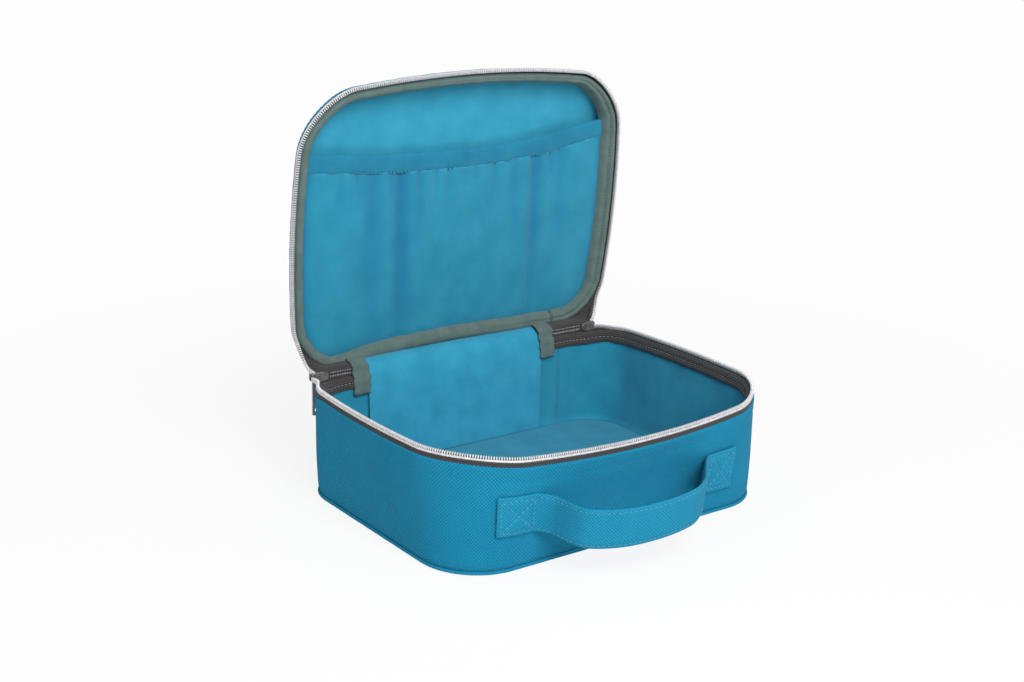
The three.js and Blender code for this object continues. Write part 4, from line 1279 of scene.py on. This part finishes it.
pocket_rows = []
pocket_painted_shade = []  # how deep in a fold, or how near the border, each point lies
across_shares = np.linspace(-1, 1, 121)
for down_share in np.linspace(0, 1, 58):
    base = hem_back + (pocket_foot - hem_back) * down_share
    half = pocket_half(base) - 10.0
    x = across_pocket(base, 8.6, 12.0)
    start = hem_back + hem_line(x)
    y = start + (pocket_foot - start) * down_share
    down = y - start
    edge = np.clip((1 - np.abs(across_shares)) / 0.07, 0, 1) ** 0.7
    foot = min(1, (1 - down_share) / 0.06) ** 0.7
    full = 2.2 * edge * foot * np.sin(math.pi * np.clip(0.16 + 0.84 * down_share, 0, 1)) ** 0.8
    out = full + (folds_of(x, down) + 0.4) * edge * foot
    pocket_rows.append(np.c_[x, y + np.maximum(0, hinge_bow(x, y)), pocket_height - out])
    # painted shade: how deep each point lies in a fold and how near the binding's edge, stored on
    # the pocket for its colour
    from_edge = np.maximum(0, (1 - np.abs(across_shares)) * half - 2.5)
    border = np.exp(-from_edge / 3.0) + math.exp(-(1 - down_share) * 130 / 3.0)
    pocket_painted_shade.append(np.clip(0.55 * fold_shade(x, down) + 0.85 * border, 0, 0.9))
pocket_piece = cloth_piece("pocket_cloth", opened(pocket_rows),
                           satin_lining("folded_lining_painted_shade", folded=True), 0.4)
fold_painted_shade = pocket_piece.data.attributes.new("fold_painted_shade", "FLOAT", "POINT")
fold_painted_shade.data.foreach_set("value", np.array(pocket_painted_shade, np.float32).ravel())
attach(pocket_piece, "lid")
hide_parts("pocket_panel")

hem_section = [  # place across the hem's width, and how far it stands out
    (1.04, -0.3), (1.0, 0.5), (0.93, 1.0), (0.8, 1.25), (0.6, 1.35), (0.4, 1.35), (0.2, 1.2),
    (0.07, 0.9), (0.0, 0.2), (0.04, -0.7), (0.3, -0.9), (0.7, -0.9), (1.0, -0.7),
]
hem_rows = []
for share, stand in hem_section:
    x = across_pocket(hem_back - hem_width * 0.5, 8.4, 12.0)
    y = hem_back + hem_line(x) + 0.8 - hem_width * share
    gather = 0.28 * waves(x, share * 4, 7, 93) + 0.22 * waves(x, share * 2, 17, 94)
    edge = np.clip((1 - np.abs(across_shares)) / 0.03, 0, 1) ** 0.5
    y = y + (0.4 + 0.8 * waves(x, 0, 11, 95) if share < 0.5 else 0.2 * waves(x, 0, 21, 95))
    hem_rows.append(np.c_[x, y, pocket_height - 0.9 - (stand + gather) * edge + 1.2 * (1 - edge)])
# the hem is the same lining in darker colours: painted shade on the gathered hem
hem_cloth = satin_lining("hem_lining_painted_shade", "#1f7c9a", "#186f8e", 0.5)
hem = cloth_piece("pocket_hem_cloth", opened(hem_rows), hem_cloth)
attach(hem, "lid")
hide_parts("pocket_hem")
lid_in = opened_way([[0, 0, -1.0]] * len(across_shares))
stitch_row("hem_stitches_lower", opened(hem_rows[7] + [0, 0.3, -0.12]), lid_in,
           "lid", "lining", blue_thread, 3.0, bead(2.2, 0.4, 0.4))

# Hinge: the two long pieces of cloth that join bag and lid behind the zip's ends. Outside is the
# woven cloth and inside the lining, both sewn to wall and lid.
hinge_outer_path = [  # y and height, from the rear wall up and back to the lid's rear
    (94.2, 68.0), (94.9, 69.4), (95.0, 71.4), (95.1, 73.0), (95.5, 74.4), (96.4, 75.4),
    (97.8, 75.9), (99.4, 76.1), (101.0, 76.2), (102.2, 76.7),
]
hinge_inner_path = [  # y and height, from the floor up the rear wall and back to the lid's binding
    (88.0, 3.6), (87.7, 20.0), (87.6, 40.0), (87.9, 55.0), (88.8, 63.0), (89.9, 69.0), (91.1, 73.0),
    (92.8, 76.0), (95.3, 78.3), (98.6, 79.8), (102.0, 80.6), (105.4, 81.4),
]


def hinge_rows(path, left, right, seed, depth):
    """Rows of cloth from left to right along a path of y and height, with gentle bumps so deep."""
    x = np.linspace(left, right, 90)
    rows = []
    for y, z in resampled(np.array(path), 44):
        bump = depth * waves(x, z, 34, seed)
        rows.append(np.c_[x, y + bump * 0.7, z - bump * 0.7])
    return rows


hinge_half = 76.5  # half the length of the outer cloth between the zip's ends
flap_left, flap_right = -79.0, 69.5  # the lining's ends, a millimetre under the tabs
hinge_outer = cloth_piece("hinge_cloth",
                          hinge_rows(hinge_outer_path, -hinge_half, hinge_half, 101, 0.15),
                          bag_cloth, -0.8)
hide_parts("hinge_fold")
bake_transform(hinge_outer)
# the hinge's lining is the bag's lining in lighter colours: a painted highlight where it rolls over
# towards the lid
highlit_lining = satin_lining("lining_painted_highlight", "#3498b6", "#2889a8", 0.34)
hinge_inner = cloth_piece("hinge_lining",
                          hinge_rows(hinge_inner_path, flap_left, flap_right, 102, 0.5),
                          highlit_lining, 0.4)
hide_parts("lid_hinge_flap")
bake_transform(hinge_inner)

# Handle: one length of the same cloth, 26 mm wide once folded double, that lies sewn to the wall at
# both ends and stands off it between them. Its edges are stitched, and a cross holds each end.
handle_height = 35.0
strap_half = 13.0
strap_thick = 2.6
strap_on_wall = 25.5  # how much of each end is sewn to the wall
handle_left = -78.3  # where the strap leaves the wall, from the middle of the bag
handle_right = 60.8
handle_arch = [  # the strap's middle line in plan, between the sewn ends
    (-71.4, -109.0), (-68.4, -123.6), (-63.6, -133.0), (-49.6, -139.8), (-31.6, -144.2),
    (-8.6, -146.2), (10.4, -143.9), (23.4, -136.8), (33.6, -127.4), (46.8, -113.4), (55.6, -104.0),
]
handle_lean = -0.11
front_stations = np.flatnonzero((rim_line[:seam_end, 1] < -60)
                                & (np.abs(rim_line[:seam_end, 0]) < 120))


def wall_face(x, z):
    """How far back the front wall's outer face lies at places along it and up it."""
    x, z = np.broadcast_arrays(np.asarray(x, float), np.asarray(z, float))
    rows = np.array(front_rows[:wall_levels])[:, front_stations[::-1]]
    back = np.stack([np.interp(x, row[:, 0], row[:, 1]) for row in rows])
    height = np.stack([np.interp(x, row[:, 0], row[:, 2]) for row in rows])
    above = np.clip((height < z).sum(0), 1, len(rows) - 1)[None]
    low, high = [np.take_along_axis(height, level, 0)[0] for level in (above - 1, above)]
    low_back, high_back = [np.take_along_axis(back, level, 0)[0] for level in (above - 1, above)]
    share = (z - low) / (high - low)
    return low_back * (1 - share) + high_back * share


def smooth_through(points, steps):
    """A curve through points."""
    points = np.asarray(points, float)
    points = np.vstack([2 * points[0] - points[1], points, 2 * points[-1] - points[-2]])
    pieces = []
    for a, b, c, d in zip(points, points[1:], points[2:], points[3:]):
        s = np.linspace(0, 1, steps, endpoint=False)[:, None]
        pieces.append(b + s / 2 * ((c - a) + s * (2 * a - 5 * b + 4 * c - d)
                                   + s ** 2 * (3 * b - a - 3 * c + d)))
    return np.vstack(pieces + [points[-2][None]])


def sewn_end(start, end):
    """Plan points of the strap's middle line where it lies on the wall."""
    x = np.linspace(start, end, 6)
    return np.c_[x, wall_face(x, handle_height) - strap_thick / 2 - 0.1]


strap_line = smooth_through(np.vstack([
    sewn_end(handle_left - strap_on_wall, handle_left), handle_arch,
    sewn_end(handle_right, handle_right + strap_on_wall)]), 14)
strap_points, end_points = 190, 60  # of the whole strap, and of each end in which its root lies
strap_line = resampled(strap_line, strap_points)
strap_long = lengths_along(strap_line)
strap_step = np.gradient(strap_line, axis=0)
strap_out = np.c_[strap_step[:, 1], -strap_step[:, 0]]
strap_out /= np.linalg.norm(strap_out, axis=1)[:, None]
left_root = strap_long[np.argmin(np.abs(strap_line[:end_points, 0] - handle_left))]
right_root = strap_long[np.argmin(np.abs(strap_line[-end_points:, 0] - handle_right)) - end_points]
strap_level = smooth_through([  # how far along it, and height of its middle line
    (0, 38.4), (left_root, 38.2), (0.38 * strap_long[-1], 34.8), (0.65 * strap_long[-1], 37.4),
    (0.8 * strap_long[-1], 34.4), (right_root, 32.6), (strap_long[-1], 32.6)], 12)


def eased(share):
    """A share between 0 and 1 that starts and ends gently."""
    share = np.clip(share, 0, 1)
    return share ** 2 * (3 - 2 * share)


def strap_at(along, across, out):
    """Points of the strap: how far along it, across it, and outwards from its middle sheet."""
    along, across, out = np.broadcast_arrays(*[np.asarray(v, float) for v in (along, across, out)])
    level = np.interp(along, strap_level[:, 0], strap_level[:, 1])
    broader = eased((along - right_root + 14) / 14)
    across = across * (1 + 0.15 * broader)
    x, y = [np.interp(along, strap_long, strap_line[:, k]) for k in (0, 1)]
    way_x, way_y = [np.interp(along, strap_long, strap_out[:, k]) for k in (0, 1)]
    clear = eased(np.minimum(along - left_root, right_root - along) / 26)
    wall_x = np.where(along < strap_long[-1] / 2,
                      np.minimum(x, handle_left), np.maximum(x, handle_right))
    on_wall = wall_face(wall_x, level + across) - wall_face(wall_x, handle_height)
    tilt = on_wall * (1 - clear) + handle_lean * across * clear
    return np.stack([x + way_x * out, y + way_y * out + tilt, level + across], axis=-1)


def box_and_cross(start, end):
    """The stitched lines of one sewn end, as places along and across the strap."""
    near, far, side = start + 2.6, end - 2.6, strap_half - 2.6
    corners = [(near, -side), (near, side), (far, side), (far, -side)]
    return [corners + corners[:1], [corners[0], corners[2]], [corners[1], corners[3]]]


sewn_lines = box_and_cross(0, left_root) + box_and_cross(right_root, strap_long[-1])
edge_in = strap_half - 2.2
edge_lines = [[(left_root, side * edge_in), (right_root, side * edge_in)] for side in (-1, 1)]


def strap_dent(along, across):
    """How far the stitches pull the strap's outer face in, and how far it puffs up between them."""
    dent = 0.15 * waves(along, across, 16, 61)
    on_wall = (along < left_root) | (along > right_root)
    dent = dent + np.where(on_wall, 0.28 * waves(along, across, 7, 62) - 0.25, 0)
    for line in sewn_lines:
        for start, end in zip(line, line[1:]):
            dent = dent + 0.55 * crease(along, across, start, end, 1.0)
    for line in edge_lines:
        dent = dent + 0.22 * crease(along, across, *line, 0.9)
    return dent


# the strap is the wall's cloth in lighter colours: painted light on the strap, which stands out
# from the wall into the light
strap_weave_painted_light = woven_polyester("strap_weave_painted_light", 1.1, "#238eaf", "#106b8d")
strap_thread = sewing_thread("strap_thread", "#2085a7")
strap_face = np.sin(np.linspace(-math.pi / 2, math.pi / 2, 33))
strap_back = strap_face[1::3][::-1]
strap_rows = []
end_taper = np.clip(np.minimum(strap_long, strap_long[-1] - strap_long) / 1.2, 0.05, 1) ** 0.5
strap_loop = [(a, 1) for a in strap_face] + [(a, -1) for a in strap_back] + [(strap_face[0], 1)]
for across, side in strap_loop:
    out = side * strap_thick / 2 * (1 - abs(across) ** 8) ** 0.5 * end_taper
    if side > 0:
        out = out - strap_dent(strap_long, across * strap_half) * (1 - abs(across) ** 8)
    strap_rows.append(strap_at(strap_long, across * strap_half, out))
handle_cloth = cloth_piece("handle_cloth", strap_rows, strap_weave_painted_light)
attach(handle_cloth, "base")
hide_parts("handle_strap", "handle_patch_left", "handle_patch_right")
for i, line in enumerate(sewn_lines + edge_lines):
    line = resampled(np.array(line, float), 120)
    lift = strap_thick / 2 - strap_dent(line[:, 0], line[:, 1]) + 0.1
    places = strap_at(line[:, 0], line[:, 1], lift)
    out = read_off(strap_out, strap_long, line[:, 0])
    stitch_row("handle_stitches_%d" % (i + 1), places, np.c_[out, np.zeros(len(out))],
               "base", "woven_cloth", strap_thread, stitch_pitch, bead(2.5, 0.5, 0.4))

# Zip sliders: one cast body at each end of the zip, left wide open beside the hinge. Two plates run
# over both faces of the chain, joined by a post between the rows, and a loop on the rear plate
# holds the pull.
chain_middle = 75.2
slider_half = 6.2
plate_near, plate_far = 1.6, 2.6


def stamped(outlines, low, high, soft):
    """A flat part within closed outlines, between two levels, with softened edges."""
    curve = bpy.data.curves.new("outline", "CURVE")
    curve.dimensions = "2D"
    curve.fill_mode = "BOTH"
    curve.extrude = ((high - low) / 2 - soft) * MM
    curve.bevel_depth = soft * MM
    curve.bevel_resolution = 2
    curve.offset = -soft * MM
    for outline in outlines:
        line = curve.splines.new("POLY")
        line.points.add(len(outline) - 1)
        for point, (x, y) in zip(line.points, outline):
            point.co = (x * MM, y * MM, 0, 1)
        line.use_cyclic_u = True
    holder = bpy.data.objects.new("outline", curve)
    mesh = bpy.data.meshes.new_from_object(holder)
    points = np.array([v.co for v in mesh.vertices]) / MM + [0, 0, (low + high) / 2]
    faces = [tuple(face.vertices) for face in mesh.polygons]
    bpy.data.objects.remove(holder)
    bpy.data.curves.remove(curve)
    bpy.data.meshes.remove(mesh)
    return points, faces


def rounded_outline(points, radius, steps=5):
    """A closed outline with its corners rounded."""
    points = np.asarray(points, float)
    made = []
    for before, here, after in zip(np.roll(points, 1, 0), points, np.roll(points, -1, 0)):
        back = min(radius, np.linalg.norm(before - here) / 2)
        fore = min(radius, np.linalg.norm(after - here) / 2)
        start = here + (before - here) / np.linalg.norm(before - here) * back
        end = here + (after - here) / np.linalg.norm(after - here) * fore
        for s in np.linspace(0, 1, steps):
            made.append(start * (1 - s) ** 2 + here * 2 * s * (1 - s) + end * s ** 2)
    return made


def rectangle(x0, x1, y0, y1):
    """Its four corners in turn."""
    return [(x0, y0), (x1, y0), (x1, y1), (x0, y1)]


def laid(parts, across, back, up, origin):
    """Joins parts and turns their three axes to the directions given, from an origin."""
    frame_of = np.array([across, back, up], float)
    points, faces, count = [], [], 0
    for part_points, part_faces in parts:
        points.append(part_points @ frame_of + origin)
        flip = -1 if np.linalg.det(frame_of) < 0 else 1
        faces += [tuple(count + v for v in face)[::flip] for face in part_faces]
        count += len(part_points)
    return np.concatenate(points), faces


def satin_metal(name, code, dark, rough):
    """Cast or stamped metal with a fine satin finish and faint rubbed patches."""
    made, tree = new_material(name)
    place = node(tree, "TexCoord").outputs["Object"]
    rubbed = node(tree, "TexNoise", place, named=grains(260, 3))
    grain = node(tree, "TexNoise", place, named=grains(2200))
    colour = node(tree, "MixRGB", node(tree, "MapRange", rubbed, 0.3, 0.7, 0, 1),
                  linear(dark), linear(code))
    rubbed_rough = node(tree, "MapRange", rubbed, 0.3, 0.7, rough, rough + 0.12)
    finish_metal(tree, colour, 0.55, rubbed_rough, grain, 0.015)
    return made


slider_zinc = satin_metal("cast_zinc", "#8f8789", "#6b6365", 0.34)
pull_zinc = satin_metal("stamped_pull_zinc", "#cfc3c1", "#b9adab", 0.32)
plate_outline = rounded_outline([
    (-slider_half, -2.1), (-2.8, -2.9), (1.4, -3.3), (slider_half, -2.9),
    (slider_half, 3.6), (1.4, 4.0), (-2.8, 3.5), (-slider_half, 2.5)], 1.9)
post_end = slider_half - 0.6
post_outline = rounded_outline([(1.0, 0), (3.4, -1.1), (post_end, -0.7), (post_end, 0.7),
                                (3.4, 1.1)], 0.5)
post_half = 1.7
lip_ends = (-4.4, 4.6)  # of the plates' turned edges, along the slider
lip_sides = ((-2.9, -2.2), (2.2, 2.9))
lip_levels = ((-1.8, -0.95), (0.95, 1.8))
crown_foot, crown_top, crown_half, crown_leg = plate_far - 0.2, 5.2, 2.2, 0.8
crown_in, crown_under = crown_half - crown_leg, crown_top - crown_leg
crown_outline = rounded_outline([
    (crown_foot, -crown_half), (crown_top, -crown_half), (crown_top, crown_half),
    (crown_foot, crown_half), (crown_foot, crown_in), (crown_under, crown_in),
    (crown_under, -crown_in), (crown_foot, -crown_in)], 0.7)
crown = stamped([crown_outline], -0.6, 0.6, 0.15)
flat_parts = [stamped([plate_outline], low, high, 0.3)
              for low, high in ((plate_near, plate_far), (-plate_far, -plate_near))]
flat_parts.append(stamped([post_outline], -post_half, post_half, 0.05))
flat_parts += [stamped([rounded_outline(rectangle(*lip_ends, *sides), 0.3)], *levels, 0.12)
               for sides in lip_sides for levels in lip_levels]
for word, side in (("left", -1), ("right", 1)):
    at = (side * slider_x, chain_y, chain_middle)
    body_and_crown = [laid(flat_parts, (side, 0, 0), (0, 0, 1), (0, 1, 0), at),
                      laid([crown], (0, 1, 0), (0, 0, 1), (side, 0, 0), at)]
    slider = add_piece("zip_slider_" + word, *laid(body_and_crown, *np.eye(3), (0, 0, 0)),
                       slider_zinc)
    slider.data.set_sharp_from_angle(angle=math.radians(40))
    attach(slider, "slider_" + word)
    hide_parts("slider_" + word)

# Pulls: flat stamped tabs with a bar across the top that lies in the slider's loop, so that they
# hang down behind the bag. Each has a raised rim and a slot for a cord near its foot.
pull_y = 96.95
pull_bar, pull_shoulder, pull_low = 0.5, -4.6, -28.4  # heights from the slider's middle
bar_half, tab_half = 2.3, 3.25
tab_outline = rounded_outline([
    (-bar_half, pull_bar), (bar_half, pull_bar), (tab_half, pull_shoulder), (tab_half, pull_low),
    (-tab_half, pull_low), (-tab_half, pull_shoulder)], 1.6, 7)
eye = rounded_outline(rectangle(-1.1, 1.1, -3.7, -0.5), 0.5)
cord_slot = rounded_outline(rectangle(-1.2, 1.2, pull_low + 2.4, pull_low + 5.4), 1.0)
rim_outer = rounded_outline(rectangle(-2.8, 2.8, pull_low + 6.35, -5.75), 1.5)
rim_inner = rounded_outline(rectangle(-2.35, 2.35, pull_low + 6.8, -6.2), 1.2)
pull_parts = [stamped([tab_outline, eye, cord_slot], -0.4, 0.4, 0.18)]
pull_parts += [stamped([rim_outer, rim_inner], low, low + 0.2, 0.05) for low in (0.32, -0.52)]
for word, side in (("left", -1), ("right", 1)):
    at = (side * slider_x, pull_y, chain_middle)
    pull = add_piece("zip_pull_" + word,
                     *laid(pull_parts, (1, 0, 0), (0, 0, 1), (0, 1, 0), at), pull_zinc)
    pull.data.set_sharp_from_angle(angle=math.radians(40))
    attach(pull, "pull_" + word)
    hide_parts("pull_" + word)
